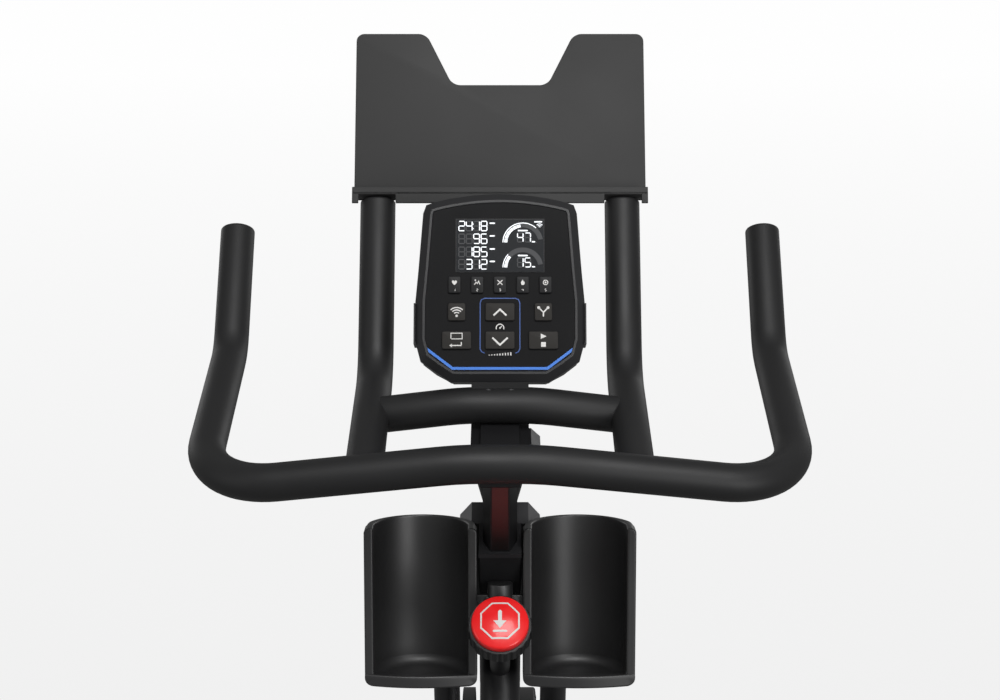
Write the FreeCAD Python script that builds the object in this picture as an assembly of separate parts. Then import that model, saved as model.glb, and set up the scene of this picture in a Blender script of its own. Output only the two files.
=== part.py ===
"""Indoor-cycling exercise bike with a front flywheel.

Frame: +X to the rider's right, +Y forward, +Z up, millimetres.
Origin: on the floor, at the middle of the bike's length and width.
One STEP file is written per named piece.
"""
import FreeCAD
import Part
import math
import os

V = FreeCAD.Vector

# ---- driving dimensions -------------------------------------------------
OVERALL_LENGTH = 1240.0
CROSSBAR_HEIGHT = 980.0
CRANK_HEIGHT = 330.0
SADDLE_HEIGHT = 932.0
STABILIZER_WIDTH = 560.0

# handlebar tubes
BAR_TUBE = 36.0
BAR_WALL = 3.0
BAR_CAP = 4.0
HORN_SPACING = 562.0
RACK_TUBE_SPACING = 251.0
SECOND_BAR_AHEAD = 113.0

# routes of the handlebar tubes: ahead of and above the crossbar's middle
HORN_TIP = (368.0, 77.0)
HORN_KNEE = (262.0, -17.0)
HORN_CORNER = (15.0, -36.0)
HORN_KNEE_BEND = 60.0
HORN_CORNER_BEND = 80.0
CROSSBAR_FLAT = 35.0
CROSSBAR_BEND = 260.0
SECOND_BAR_END = (10.0, -17.0)
SECOND_BAR_BEND = 160.0
INNER_FOOT = (6.0, -17.0)
INNER_KNEE = (195.0, -10.0)
INNER_KNEE_BEND = 70.0

# eight-sided post and its receiver
POST_WIDTH = 33.0
POST_DEPTH = 34.0
POST_FACET = 18.0
POST_CORNER = 15.0
POST_LEAN = 13.0
BUSH_WALL = 2.0
BUSH_LENGTH = 60.0
BUSH_COLLAR = 5.0
RECEIVER_WALL = 2.0
RECEIVER_LENGTH = 185.0
POST_INSERTION = 170.0
FIT = 0.25
RUNNING = 0.05
SOFT_GAP = 0.3

# sliding heads under the handlebar and the saddle
HEAD_WIDTH = 56.0
HEAD_LENGTH = 110.0
HEAD_HEIGHT = 32.0
V_TOP = 37.0
V_BOTTOM = 22.0
V_STRAIGHT = 14.0
V_DEPTH = 30.0
V_RISE = 6.0
CARRIAGE_LENGTH = 180.0
CARRIAGE_REAR = 10.0
CARRIAGE_UNDERCUT = (43.0, 26.75)
HEAD_GAP = 2.5
HEAD_FLOOR = 4.0
HEAD_CHAMFER = 3.0
HEAD_AHEAD = 28.0
HEAD_SLOPE = (38.0, 26.5)
TAB_FROM = 52.0
TAB_TO = 84.0
TAB_TOP = 4.0
TAB_DROP = 26.0
TAB_REACH = 11.0
TAB_BEVEL = 9.0

# bottle holder
TROUGH_INNER = 92.0
TROUGH_OUTER = 109.5
TROUGH_TO_RECEIVER = 1.5
TROUGH_HEIGHT = 157.0
TROUGH_DEPTH = 60.0
TROUGH_BACK = 3.5
TROUGH_STRAIGHT = 20.0
TROUGH_FLOOR = 12.0
TROUGH_LIP = 9.0
TROUGH_DROP = 7.8
TROUGH_CORNER = 8.0
HOLDER_LEAN = 19.0
BRIDGE_DEPTH = 9.0
BRIDGE_THICK = 6.0
BRIDGE_LOW = -50.0
BRIDGE_HIGH = 2.0
BOSS = 25.0
BOSS_RISE = 12.0
SCREW_DROP = 8.0
SCREW_SPACING = 35.0
SCREW = 4.4
SCREW_HEAD = 8.0
SCREW_HEAD_HEIGHT = 3.0

# brake
BRAKE_TILT = 30.2
BRAKE_CAP = 55.0
BRAKE_SKIRT = 62.0
BRAKE_SLEEVE = 20.0
BRAKE_ROD = 12.0
BRAKE_TRAVEL = 8.0
BRAKE_DOME = 6.0
BRAKE_CAP_BASE = 6.0
BRAKE_SKIRT_HEIGHT = 18.0
BRAKE_FLUTES = 20
SKIRT_BORE_DEPTH = 12.0
SLEEVE_TOP = -24.0
SLEEVE_FOOT = -150.0
SHOE_LENGTH = 48.0
SHOE_WIDTH = 24.0
SHOE_HEIGHT = 16.0
SPRING_TURNS = 3
SPRING_WIRE = 1.8

# tubes of the frame
DOWNTUBE = 40.0
DOWNTUBE_SLOPE = 52.0
TUBE_WALL = 2.5
BEAM = 40.0
LEG = 28.0
SEAT_LEAN = 17.0
SEAT_TUBE_LENGTH = 345.0
SEAT_INSERTION = 150.0

# stabilizers, caps, feet and wheels
STABILIZER_DEPTH = 60.0
STABILIZER_HEIGHT = 40.0
STABILIZER_Z = 28.0
CAP_WALL = 1.5
CAP_LENGTH = 46.0
CAP_PAD = (38.0, 40.0, 30.5)
FOOT = 44.0
FOOT_SPACING = 480.0
FOOT_STEM = 10.0
WHEEL = 50.0
WHEEL_WIDTH = 22.0
WHEEL_SPACING = 380.0
WHEEL_HEIGHT = 38.0

# fasteners
FORK_PLATE = 6.0
BOLT_HEAD = 12.0
BOLT_HEIGHT = 6.0
REAR_BOLT_HEAD = 16.0
AXLE_NUT = 22.0
AXLE_NUT_LENGTH = 8.0

# flywheel and drive
FLYWHEEL = 410.0
FLYWHEEL_RIM = 26.0
FLYWHEEL_RIM_DEPTH = 55.0
FLYWHEEL_WEB = 8.0
HUB = 44.0
HUB_BORE = 32.0
HUB_LEFT = -30.0
AXLE = 12.0
BELT_WIDTH = 12.0
BELT_THICK = 4.0
DRIVE_PULLEY = 180.0
FLY_PULLEY = 56.0
COVER_DEPTH = 20.5
COVER_TO_LEG = 1.5
COVER_SKIN = 2.0
COVER_FRONT = 200.0
COVER_REAR = 115.0

# cranks and pedals
CRANK_AXLE = 20.0
BEARING = 42.0
BEARING_WIDTH = 12.0
SHELL = 54.0
SHELL_LEFT = -44.0
CRANK = 170.0
CRANK_TO_COVER = 14.5
CRANK_THICK = 14.0
PEDAL_LENGTH = 95.0
PEDAL_DEPTH = 80.0
PEDAL_HEIGHT = 22.0
PEDAL_PIN = 12.0

# console
CONSOLE_LENGTH = 185.5
CONSOLE_DEPTH = 38.0
CONSOLE_TILT = 35.0
CONSOLE_FRONT_DEPTH = 16.0
CONSOLE_SKIN = 2.5
NECK_WIDTH = 55.0
NECK_DROP = 16.0
NECK_PLATE = 5.0
NECK_HEIGHT = 90.0
GRIP = (5.0, 26.0, 40.0)
GRIP_FOOT = 37.0
BOARD_GAP = 2.0
BOARD = (116.0, 1.6, 134.0)
BOARD_FOOT = 28.0
BOARD_POST = 6.0
CONSOLE_SHAPE = [(47.0, 0.0), (64.0, 11.0), (77.0, 21.0), (82.0, 40.0), (82.0, 79.0), (79.3, 109.0),
                 (75.0, 166.0)]
CONSOLE_SHOULDER = [(72.0, -11.0), (63.0, -8.0)]
CONSOLE_STEP = 2.0
SCREEN = (85.0, 52.0)
SCREEN_FOOT = 107.0
KEY_GAP = 0.4
KEY_STAND = 1.6
KEY_TRAVEL = 0.8
KEYS = {
    "key_up": (0.0, 67.5, 28.0, 17.0),
    "key_down": (0.0, 39.8, 28.0, 17.0),
    "key_wireless": (-41.8, 67.5, 16.6, 17.0),
    "key_split": (41.8, 67.5, 16.6, 17.0),
    "key_display": (-41.8, 39.8, 28.0, 17.0),
    "key_start": (41.8, 39.8, 28.0, 17.0),
}
PROGRAM_KEYS = 5
PROGRAM_PITCH = 22.0
PROGRAM_SIZE = (11.8, 16.0)
PROGRAM_ROW = 94.0

# tablet rack
RACK_WIDTH = 300.0
RACK_HEIGHT = 175.0
RACK_THICK = 4.0
RACK_TILT = 37.0
RACK_LIP_WIDTH = 302.0
RACK_LIP = 17.0
RACK_LIP_DROP = 12.0
RACK_SHELF = 20.0
RACK_SKIN = 3.0
RACK_CORNER = 8.0
RACK_STOP = (8.0, 5.0)
RACK_TAB = (44.0, 70.0)
RACK_TAB_THICK = 5.0
RACK_PLUG = 12.0
NOTCH_TOP = 77.0
NOTCH_BOTTOM = 49.5
NOTCH_DEPTH = 56.0
RACK_AHEAD = 310.0
RACK_RISE = 139.0

# saddle
SADDLE_LENGTH = 270.0
SADDLE_WIDTH = 200.0
SADDLE_NOSE = 56.0
SADDLE_THICK = 45.0

# hood in front of the receiver
COWL_WIDTH = 80.0
COWL_TOP = 56.0
COWL_HEIGHT = 113.0
COWL_DEPTH = 44.0
COWL_WALL = 3.0
COWL_BEVEL = 14.0
COWL_CREST = -4.5
COWL_SHOULDER = 13.0

# clamp knobs
KNOB = 50.0
KNOB_HEIGHT = 26.0
KNOB_SCREW = 10.0
KNOB_HOLE = 18.0
HEIGHT_KNOB_DROP = 79.0
HEIGHT_KNOB_REACH = 62.0
SEAT_KNOB_DROP = 90.0
SEAT_KNOB_REACH = 16.0
CONE_RIM = 47.0
CONE_TIP = 34.0
CONE_HEIGHT = 26.0
CONE_RIM_HEIGHT = 5.0
CONE_DROP = 10.0
REACH_KNOB_AHEAD = 70.0
SEAT_REACH_KNOB_AHEAD = 14.0

# magnet arm
MAGNET_BEHIND = 222.0
MAGNET_BELOW = 176.0
MAGNET_PIN = 8.0
MAGNET_ANGLE = 198.0
MAGNET_GAP = 14.0
MAGNET_LENGTH = 136.0
MAGNET_PLATE = 5.0
MAGNET_CHEEK = 4.0
MAGNET_RUN = 2.0
MAGNET_OVERLAP = 20.0
MAGNET_ARM_ALONG = 39.0

# ---- places worked out from the dimensions ------------------------------
INNER_TIP = (RACK_AHEAD - 1.0, RACK_RISE - 5.5)
RACK_REACH = (RACK_AHEAD + RACK_HEIGHT * math.sin(math.radians(RACK_TILT))
              + RACK_THICK * math.cos(math.radians(RACK_TILT)))
BAR_Y = OVERALL_LENGTH / 2 - RACK_REACH
BAR_Z = CROSSBAR_HEIGHT

POST_OFFSET = RECEIVER_WALL + BUSH_WALL + FIT
RECEIVER_WIDTH = POST_WIDTH + 2 * POST_OFFSET
RECEIVER_DEPTH = POST_DEPTH + 2 * POST_OFFSET
RECEIVER_TOP = (BAR_Y + 49.0, BAR_Z - 133.0)
HEAD_TOP = BAR_Z - BAR_TUBE / 2 - HEAD_GAP
HEAD_REAR = BAR_Y + HEAD_AHEAD
TROUGH_CENTRE = (RECEIVER_WIDTH + TROUGH_OUTER) / 2 + TROUGH_TO_RECEIVER

COVER_INNER = RECEIVER_WIDTH / 2 + FIT
COVER_OUTER = COVER_INNER + COVER_DEPTH
HUB_RIGHT = COVER_INNER + COVER_SKIN + 1.0
BELT_PLANE = COVER_INNER + COVER_DEPTH / 2 + FIT
SHELL_RIGHT = COVER_INNER - 2 * FIT
LEG_SPACING = 2 * (COVER_OUTER + COVER_TO_LEG) + LEG
CRANK_INNER = COVER_OUTER + CRANK_TO_COVER

DOWN_JOIN = (RECEIVER_TOP[0] + 49.0, RECEIVER_TOP[1] - 79.0)
SLOPE = math.tan(math.radians(DOWNTUBE_SLOPE))
CRANK_Y = DOWN_JOIN[0] - (DOWN_JOIN[1] - CRANK_HEIGHT) / SLOPE
CRANK_AT = (CRANK_Y, CRANK_HEIGHT)

WHEEL_AT = (BAR_Y + 198.0, CRANK_HEIGHT)
CROWN_AT = (BAR_Y + 139.0, BAR_Z - 280.0)
LEG_RUN = (WHEEL_AT[0] - CROWN_AT[0]) / (CROWN_AT[1] - WHEEL_AT[1])
STABILIZER_TOP = STABILIZER_Z + STABILIZER_HEIGHT
FRONT_Y = WHEEL_AT[0] + LEG_RUN * (WHEEL_AT[1] - STABILIZER_TOP)
REAR_Y = -OVERALL_LENGTH / 2 + STABILIZER_DEPTH / 2 + CAP_WALL
BEAM_TOP = STABILIZER_TOP + BEAM
MAGNET_PIVOT = (WHEEL_AT[0] - MAGNET_BEHIND, WHEEL_AT[1] - MAGNET_BELOW)
MAGNET_WIDTH = FLYWHEEL_RIM + 2 * (MAGNET_RUN + MAGNET_CHEEK)

HOLDER_AT = (BAR_Y + 35.0, BAR_Z - 172.0)
BRAKE_AT = (BAR_Y - 10.0, BAR_Z - 166.5)
CONSOLE_AT = (BAR_Y + SECOND_BAR_AHEAD, BAR_Z + 26.0)
RACK_AT = (BAR_Y + RACK_AHEAD, BAR_Z + RACK_RISE)

SEAT_LEAN_SIN = math.sin(math.radians(SEAT_LEAN))
SEAT_LEAN_COS = math.cos(math.radians(SEAT_LEAN))
SADDLE_BOTTOM = SADDLE_HEIGHT - SADDLE_THICK
SEAT_PLATE = 5.0
SEAT_RISE = 14.0
SEAT_HEAD_TOP = SADDLE_BOTTOM - SOFT_GAP - SEAT_PLATE - SEAT_RISE - HEAD_GAP
SEAT_HEAD_Y = CRANK_Y - (SEAT_HEAD_TOP - CRANK_HEIGHT) * SEAT_LEAN_SIN / SEAT_LEAN_COS


# ---- shape helpers ------------------------------------------------------
def block(x, y, z, width, depth, height):
    """A box centred on x, with its rear face at y and its underside at z."""
    return Part.makeBox(width, depth, height, V(x - width / 2, y, z))


def rod(start, end, radius):
    """A round bar between two points."""
    run = end - start
    return Part.makeCylinder(radius, run.Length, start, run)


def barrel(x_from, x_to, at, radius):
    """A round bar along X between two values of X."""
    return rod(V(x_from, at[0], at[1]), V(x_to, at[0], at[1]), radius)


def ring(x_from, x_to, at, outer, inner):
    """A tube along X."""
    return barrel(x_from, x_to, at, outer).cut(barrel(x_from - 1, x_to + 1, at, inner))


def prism(points, direction):
    """A flat outline swept along a direction."""
    return Part.Face(Part.makePolygon(points + [points[0]])).extrude(direction)


def side_prism(points, x_from, x_to):
    """An outline in Y and Z, swept along X."""
    return prism([V(x_from, y, z) for y, z in points], V(x_to - x_from, 0, 0))


def tilted(shape, at, degrees):
    """Turn a shape about X, then move its origin to a place in Y and Z."""
    copy = shape.copy()
    move = FreeCAD.Placement(V(0, at[0], at[1]), FreeCAD.Rotation(V(1, 0, 0), degrees))
    copy.Placement = move.multiply(copy.Placement)
    return copy


def local_point(at, degrees, x, y, z):
    """The place of a local point after the same turn and move."""
    turn = math.radians(degrees)
    ahead = at[0] + y * math.cos(turn) - z * math.sin(turn)
    above = at[1] + y * math.sin(turn) + z * math.cos(turn)
    return V(x, ahead, above)


def mirrored(shape):
    """The same piece on the other side of the bike."""
    return shape.mirror(V(0, 0, 0), V(1, 0, 0))


def both_sides(shape):
    """A piece and its twin, as one shape."""
    return shape.fuse(mirrored(shape))


def fused(shapes):
    """All the shapes as one."""
    return shapes[0].multiFuse(shapes[1:]).removeSplitter()


def bent_tube(points, bends, radius, shorten=0.0):
    """A round bar along straight runs joined by arcs. bends holds one radius per inner point."""
    first = points[0] + (points[1] - points[0]).normalize() * shorten
    last = points[-1] + (points[-2] - points[-1]).normalize() * shorten
    route = [first] + points[1:-1] + [last]
    edges = []
    here = route[0]
    for index, bend in enumerate(bends):
        corner = route[index + 1]
        back = (route[index] - corner).normalize()
        ahead = (route[index + 2] - corner).normalize()
        half = back.getAngle(ahead) / 2
        trim = bend / math.tan(half)
        start = corner + back * trim
        end = corner + ahead * trim
        middle_way = (back + ahead).normalize()
        middle = corner + middle_way * (bend / math.sin(half) - bend)
        edges.append(Part.makeLine(here, start))
        edges.append(Part.Arc(start, middle, end).toShape())
        here = end
    edges.append(Part.makeLine(here, route[-1]))
    path = Part.Wire(edges)
    circle = Part.Wire(Part.makeCircle(radius, route[0], route[1] - route[0]))
    return path.makePipeShell([circle], True, False)


def octagon(width, depth, facet, corner, height, grow=0.0):
    """The post's section, as an upright prism with its rider-side face at y = 0."""
    half = width / 2 + grow
    nose = facet / 2 + grow * 0.4
    points = [(-nose, -grow), (nose, -grow), (half, corner), (half, depth - corner),
              (nose, depth + grow), (-nose, depth + grow), (-half, depth - corner), (-half, corner)]
    return prism([V(x, y, 0) for x, y in points], V(0, 0, height))


def v_section(y_from, length, top, grow=0.0):
    """A bar along Y with straight upper flanks and a V-shaped underside."""
    wide = V_TOP / 2 + grow
    narrow = V_BOTTOM / 2 + grow
    flank = top - V_STRAIGHT
    points = [(-wide, top), (-wide, flank), (-narrow, top - V_DEPTH - grow),
              (narrow, top - V_DEPTH - grow), (wide, flank), (wide, top)]
    return prism([V(x, y_from, z) for x, z in points], V(0, length, 0))


def fluted_knob(radius, height, flutes=12):
    """An upright knob with a fluted rim, its underside at z = 0."""
    body = Part.makeCylinder(radius, height)
    body = body.makeFillet(2.0, body.Edges[0:1] + body.Edges[2:3])
    for index in range(flutes):
        turn = 2 * math.pi * index / flutes
        centre = V((radius + 3.0) * math.cos(turn), (radius + 3.0) * math.sin(turn), -1)
        body = body.cut(Part.makeCylinder(4.5, height + 2, centre))
    return body


def clamp_knob(at, degrees, reach):
    """A knob and its clamp screw. The screw's tip is at the place given."""
    screw = Part.makeCylinder(KNOB_SCREW / 2, reach + 1)
    head = fluted_knob(KNOB / 2, KNOB_HEIGHT)
    head.translate(V(0, 0, reach))
    return tilted(fused([screw, head]), at, degrees)


def v_channel(y_from, top):
    """The head that a V-shaped bar slides in, with a hole for its clamp screw."""
    height = HEAD_HEIGHT + HEAD_FLOOR
    body = block(0, y_from, top - height, HEAD_WIDTH, HEAD_LENGTH, height)
    body = body.makeChamfer(HEAD_CHAMFER, [edge for edge in body.Edges if edge.BoundBox.YLength > 1
                                           and edge.BoundBox.ZMax < top - 1])
    groove = v_section(y_from - 1, HEAD_LENGTH + 2, top + V_RISE, FIT)
    return body.cut(groove)


# ---- handlebar group ----------------------------------------------------
def bar_point(x, place):
    """A point from how far it is ahead of and above the crossbar's middle."""
    return V(x, BAR_Y + place[0], BAR_Z + place[1])


def opposite(points):
    """The same route on the other side, run backwards."""
    return [V(-point.x, point.y, point.z) for point in reversed(points)]


def handlebar_tubes(radius, shorten):
    """The crossbar with its horns, the second bar and the two inner tubes."""
    horn = HORN_SPACING / 2
    inner = RACK_TUBE_SPACING / 2
    right = [bar_point(horn, HORN_TIP), bar_point(horn, HORN_KNEE), bar_point(horn, HORN_CORNER),
             bar_point(CROSSBAR_FLAT, (0, 0))]
    bends = [HORN_KNEE_BEND, HORN_CORNER_BEND, CROSSBAR_BEND]
    outer = bent_tube(right + opposite(right), bends + bends[::-1], radius, shorten)
    half = [bar_point(inner, (SECOND_BAR_AHEAD + SECOND_BAR_END[0], SECOND_BAR_END[1])),
            bar_point(CROSSBAR_FLAT, (SECOND_BAR_AHEAD, 0))]
    second = bent_tube(half + opposite(half), [SECOND_BAR_BEND, SECOND_BAR_BEND], radius)
    tip = bar_point(inner, INNER_TIP)
    knee = bar_point(inner, INNER_KNEE)
    rise = bent_tube([bar_point(inner, INNER_FOOT), knee, tip], [INNER_KNEE_BEND], radius)
    if shorten:
        back = (knee - tip).normalize()
        rise = rise.cut(rod(tip + back * shorten, tip + back * -30, radius * 2))
    return fused([outer, second, rise, mirrored(rise)])


def make_handlebar():
    outer = handlebar_tubes(BAR_TUBE / 2, 0.0)
    inner = handlebar_tubes(BAR_TUBE / 2 - BAR_WALL, BAR_CAP)
    return outer.cut(inner)


def rear_slope(y, z, size, half):
    """What is cut off the lower rear corner of a bar or a head, to slope it forward."""
    run, rise = size
    return side_prism([(y - run, z + 2 * rise), (y + 2 * run, z - rise), (y - run, z - rise)], -half, half)


def make_handlebar_carriage(tubes):
    top = HEAD_TOP + V_RISE - FIT
    rear = BAR_Y - CARRIAGE_REAR
    bar = v_section(rear, CARRIAGE_LENGTH, top)
    return bar.cut(rear_slope(rear, top - V_DEPTH, CARRIAGE_UNDERCUT, V_TOP)).cut(tubes)


def post_section(insertion, rise, lean, at):
    """The post from its foot inside the receiver to its head."""
    post = octagon(POST_WIDTH, POST_DEPTH, POST_FACET, POST_CORNER, insertion + rise)
    post.translate(V(0, POST_OFFSET, -insertion))
    return tilted(post, at, lean)


def make_handlebar_post():
    rise = (HEAD_TOP - HEAD_HEIGHT / 2 - RECEIVER_TOP[1]) / math.cos(math.radians(POST_LEAN))
    post = post_section(POST_INSERTION, rise, POST_LEAN, RECEIVER_TOP)
    head = v_channel(HEAD_REAR, HEAD_TOP)
    head = head.cut(rear_slope(HEAD_REAR, HEAD_TOP - HEAD_HEIGHT - HEAD_FLOOR, HEAD_SLOPE, HEAD_WIDTH))
    groove = v_section(HEAD_REAR - 20, HEAD_LENGTH + 40, HEAD_TOP + V_RISE, FIT)
    side = HEAD_WIDTH / 2
    tab = side_prism([(HEAD_REAR + TAB_FROM, HEAD_TOP - TAB_TOP), (HEAD_REAR + TAB_TO, HEAD_TOP - TAB_TOP),
                      (HEAD_REAR + TAB_TO, HEAD_TOP - TAB_DROP)], side - 2, side + TAB_REACH)
    tab = tab.makeChamfer(TAB_BEVEL, [edge for edge in tab.Edges if edge.BoundBox.XMin > HEAD_WIDTH / 2
                                      and edge.BoundBox.YLength > 1 and edge.BoundBox.ZLength < 1])
    whole = fused([post.cut(groove), head, tab])
    hole = Part.makeCylinder(KNOB_SCREW / 2 + RUNNING, 60, V(0, reach_knob_y(), HEAD_TOP - 80))
    return whole.cut(hole)


def reach_knob_y():
    """The clamp knob stands under the front of the head."""
    return HEAD_REAR + REACH_KNOB_AHEAD


def make_cone_knob(at_y, head_top):
    """A knob that narrows downwards, with its screw through the head's floor."""
    tip = head_top + V_RISE - V_DEPTH - FIT - SOFT_GAP
    under = head_top - HEAD_HEIGHT - HEAD_FLOOR - CONE_DROP
    screw = Part.makeCylinder(KNOB_SCREW / 2, tip - under + 10, V(0, at_y, under - 10))
    rim = Part.makeCylinder(CONE_RIM / 2, CONE_RIM_HEIGHT, V(0, at_y, under - CONE_RIM_HEIGHT))
    cone = Part.makeCone(CONE_TIP / 2, CONE_RIM / 2, CONE_HEIGHT,
                         V(0, at_y, under - CONE_RIM_HEIGHT - CONE_HEIGHT))
    return fused([screw, rim, cone])


def make_console_bracket(tubes):
    neck = block(0, NECK_PLATE, -NECK_DROP, NECK_WIDTH, CONSOLE_DEPTH - NECK_PLATE, NECK_DROP)
    plate = block(0, CONSOLE_DEPTH, -NECK_DROP, NECK_WIDTH, NECK_PLATE, NECK_HEIGHT)
    whole = tilted(fused([neck, plate]), CONSOLE_AT, -CONSOLE_TILT)
    return whole.cut(tubes)


def console_outline(inset):
    """The console's face, with an arched top, as a closed wire in local X and Z."""
    top = CONSOLE_LENGTH - inset
    side = [V(half - inset, 0, max(along, inset)) for half, along in CONSOLE_SHAPE]
    (knee_x, knee_z), (corner_x, corner_z) = CONSOLE_SHOULDER
    corner = V(corner_x - inset * 0.4, 0, top + corner_z)
    edges = [Part.makeLine(side[index], side[index + 1]) for index in range(len(side) - 1)]
    knee = V(knee_x - inset * 0.8, 0, top + knee_z)
    edges.append(Part.Arc(side[-1], knee, corner).toShape())
    right = edges
    left = [edge.mirror(V(0, 0, 0), V(1, 0, 0)) for edge in right]
    arch = Part.Arc(corner, V(0, 0, top), V(-corner.x, 0, corner.z)).toShape()
    base = Part.makeLine(V(-side[0].x, 0, side[0].z), side[0])
    return Part.Wire(Part.__sortEdges__([base] + right + [arch] + left))


def console_slab(depth_from, depth_to, inset=0.0):
    face = Part.Face(console_outline(inset))
    slab = face.extrude(V(0, depth_to - depth_from, 0))
    slab.translate(V(0, depth_from, 0))
    return slab


def key_block(x, along, width, height, depth_from, depth_to, grow=0.0):
    return block(x, depth_from, along - height / 2 - grow, width + 2 * grow, depth_to - depth_from,
                 height + 2 * grow)


def all_keys():
    """Every key's name, with its place and size on the console's face."""
    keys = dict(KEYS)
    for index in range(PROGRAM_KEYS):
        x = (index - (PROGRAM_KEYS - 1) / 2) * PROGRAM_PITCH
        keys["key_program_%d" % (index + 1)] = (x, PROGRAM_ROW) + PROGRAM_SIZE
    return keys


def make_console_front():
    shell = console_slab(0, CONSOLE_FRONT_DEPTH).cut(
        console_slab(CONSOLE_SKIN, CONSOLE_FRONT_DEPTH + 1, CONSOLE_SKIN))
    for x, along, width, height in all_keys().values():
        shell = shell.cut(key_block(x, along, width, height, -1, CONSOLE_SKIN + 1, KEY_GAP))
    seat = key_block(0, SCREEN_FOOT + SCREEN[1] / 2, SCREEN[0], SCREEN[1], -1, CONSOLE_SKIN + 1)
    return tilted(shell.cut(seat), CONSOLE_AT, -CONSOLE_TILT)


def make_console_back():
    body = console_slab(CONSOLE_FRONT_DEPTH, CONSOLE_DEPTH, CONSOLE_STEP)
    shell = body.cut(console_slab(CONSOLE_FRONT_DEPTH - 1, CONSOLE_DEPTH - CONSOLE_SKIN,
                                  CONSOLE_STEP + CONSOLE_SKIN))
    grip = block(CONSOLE_SHAPE[3][0] - 1.0, 4, GRIP_FOOT, *GRIP)
    grips = both_sides(grip).cut(console_slab(0, CONSOLE_FRONT_DEPTH)).cut(body)
    whole = Part.makeCompound([shell] + grips.Solids)
    return tilted(whole, CONSOLE_AT, -CONSOLE_TILT)


def make_console_lens():
    lens = key_block(0, SCREEN_FOOT + SCREEN[1] / 2, SCREEN[0], SCREEN[1], 0.4, CONSOLE_SKIN)
    return tilted(lens, CONSOLE_AT, -CONSOLE_TILT)


def make_console_board():
    """The circuit board, on the four posts that hold it under the keys."""
    depth = CONSOLE_SKIN + KEY_TRAVEL + BOARD_GAP
    board = block(0, depth, BOARD_FOOT, *BOARD)
    back = depth + BOARD[1]
    reach = CONSOLE_DEPTH - CONSOLE_SKIN - back
    posts = [Part.makeCylinder(BOARD_POST / 2, reach, V(x, back, z), V(0, 1, 0))
             for x in (-50, 50) for z in (40, 150)]
    return tilted(fused([board] + posts), CONSOLE_AT, -CONSOLE_TILT)


def make_key(x, along, width, height):
    cap = key_block(x, along, width, height, -KEY_STAND, CONSOLE_SKIN + 0.6)
    cap = cap.makeFillet(1.2, [edge for edge in cap.Edges if edge.BoundBox.YLength > 1])
    return tilted(cap, CONSOLE_AT, -CONSOLE_TILT)


def make_media_rack():
    """Plate with a notch in its top edge, and the shelf that a tablet stands on."""
    half = RACK_WIDTH / 2
    top = RACK_HEIGHT
    floor = top - NOTCH_DEPTH
    points = [(-half, 0), (half, 0), (half, top), (NOTCH_TOP, top), (NOTCH_BOTTOM, floor),
              (-NOTCH_BOTTOM, floor), (-NOTCH_TOP, top), (-half, top)]
    plate = prism([V(x, 0, z) for x, z in points], V(0, RACK_THICK, 0))
    corners = [edge for edge in plate.Edges if edge.BoundBox.YLength > 1 and edge.BoundBox.ZMin > 1]
    plate = plate.makeFillet(RACK_CORNER, corners)
    front = RACK_THICK - RACK_SHELF
    shelf = block(0, front, -RACK_SKIN, RACK_LIP_WIDTH, RACK_SHELF, RACK_SKIN)
    inner = RACK_TUBE_SPACING / 2
    lip = block(0, front, -RACK_LIP_DROP, RACK_LIP_WIDTH, RACK_SKIN, RACK_LIP)
    for x in (-inner, inner):
        lip = lip.cut(block(x, front - 1, -RACK_LIP_DROP - 1, BAR_TUBE + 2, RACK_SKIN + 2,
                            RACK_LIP_DROP - RACK_SKIN + 1))
    tab = block(inner, RACK_THICK, -RACK_SKIN, RACK_TAB[0], RACK_TAB_THICK, RACK_TAB[1])
    stop = block((RACK_LIP_WIDTH - RACK_STOP[0]) / 2, front + RACK_SKIN, 0, RACK_STOP[0],
                 RACK_SHELF - RACK_THICK - RACK_SKIN, RACK_STOP[1])
    plug = Part.makeCylinder(BAR_TUBE / 2 - 3 * FIT, RACK_PLUG, V(inner, RACK_SKIN, -RACK_SKIN - RACK_PLUG))
    parts = [plate, shelf, lip] + both_sides(fused([tab, stop, plug])).Solids
    return tilted(fused(parts), RACK_AT, -RACK_TILT)


# ---- frame group --------------------------------------------------------
def receiver_space(lean, at, length):
    """What is taken out of the frame to make room for the post and its bush."""
    inner = block(0, RECEIVER_WALL, -length - 1, RECEIVER_WIDTH - 2 * RECEIVER_WALL,
                  RECEIVER_DEPTH - 2 * RECEIVER_WALL, length + 2)
    return tilted(inner, at, lean)


def receiver_body(lean, at, length):
    body = block(0, 0, -length, RECEIVER_WIDTH, RECEIVER_DEPTH, length)
    body = body.makeFillet(2.0, [edge for edge in body.Edges if edge.BoundBox.ZLength > 10])
    return tilted(body, at, lean)


def seat_tube_top():
    """The rider-side corner of the seat tube's rim, so that the tube's middle passes the crank."""
    point = local_point(CRANK_AT, SEAT_LEAN, 0, -RECEIVER_DEPTH / 2, SEAT_TUBE_LENGTH)
    return (point.y, point.z)


def make_bush(lean, at):
    """A sleeve with a collar on top, bored to the post's section."""
    sleeve = block(0, RECEIVER_WALL, -BUSH_LENGTH, RECEIVER_WIDTH - 2 * RECEIVER_WALL,
                   RECEIVER_DEPTH - 2 * RECEIVER_WALL, BUSH_LENGTH)
    collar = block(0, 0, 0, RECEIVER_WIDTH, RECEIVER_DEPTH, BUSH_COLLAR)
    bore = octagon(POST_WIDTH, POST_DEPTH, POST_FACET, POST_CORNER, BUSH_LENGTH + 40, FIT)
    bore.translate(V(0, POST_OFFSET, -BUSH_LENGTH - 20))
    return tilted(fused([sleeve, collar]).cut(bore), at, lean)


def make_post_bushes():
    return Part.makeCompound([make_bush(POST_LEAN, RECEIVER_TOP), make_bush(SEAT_LEAN, seat_tube_top())])


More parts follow.
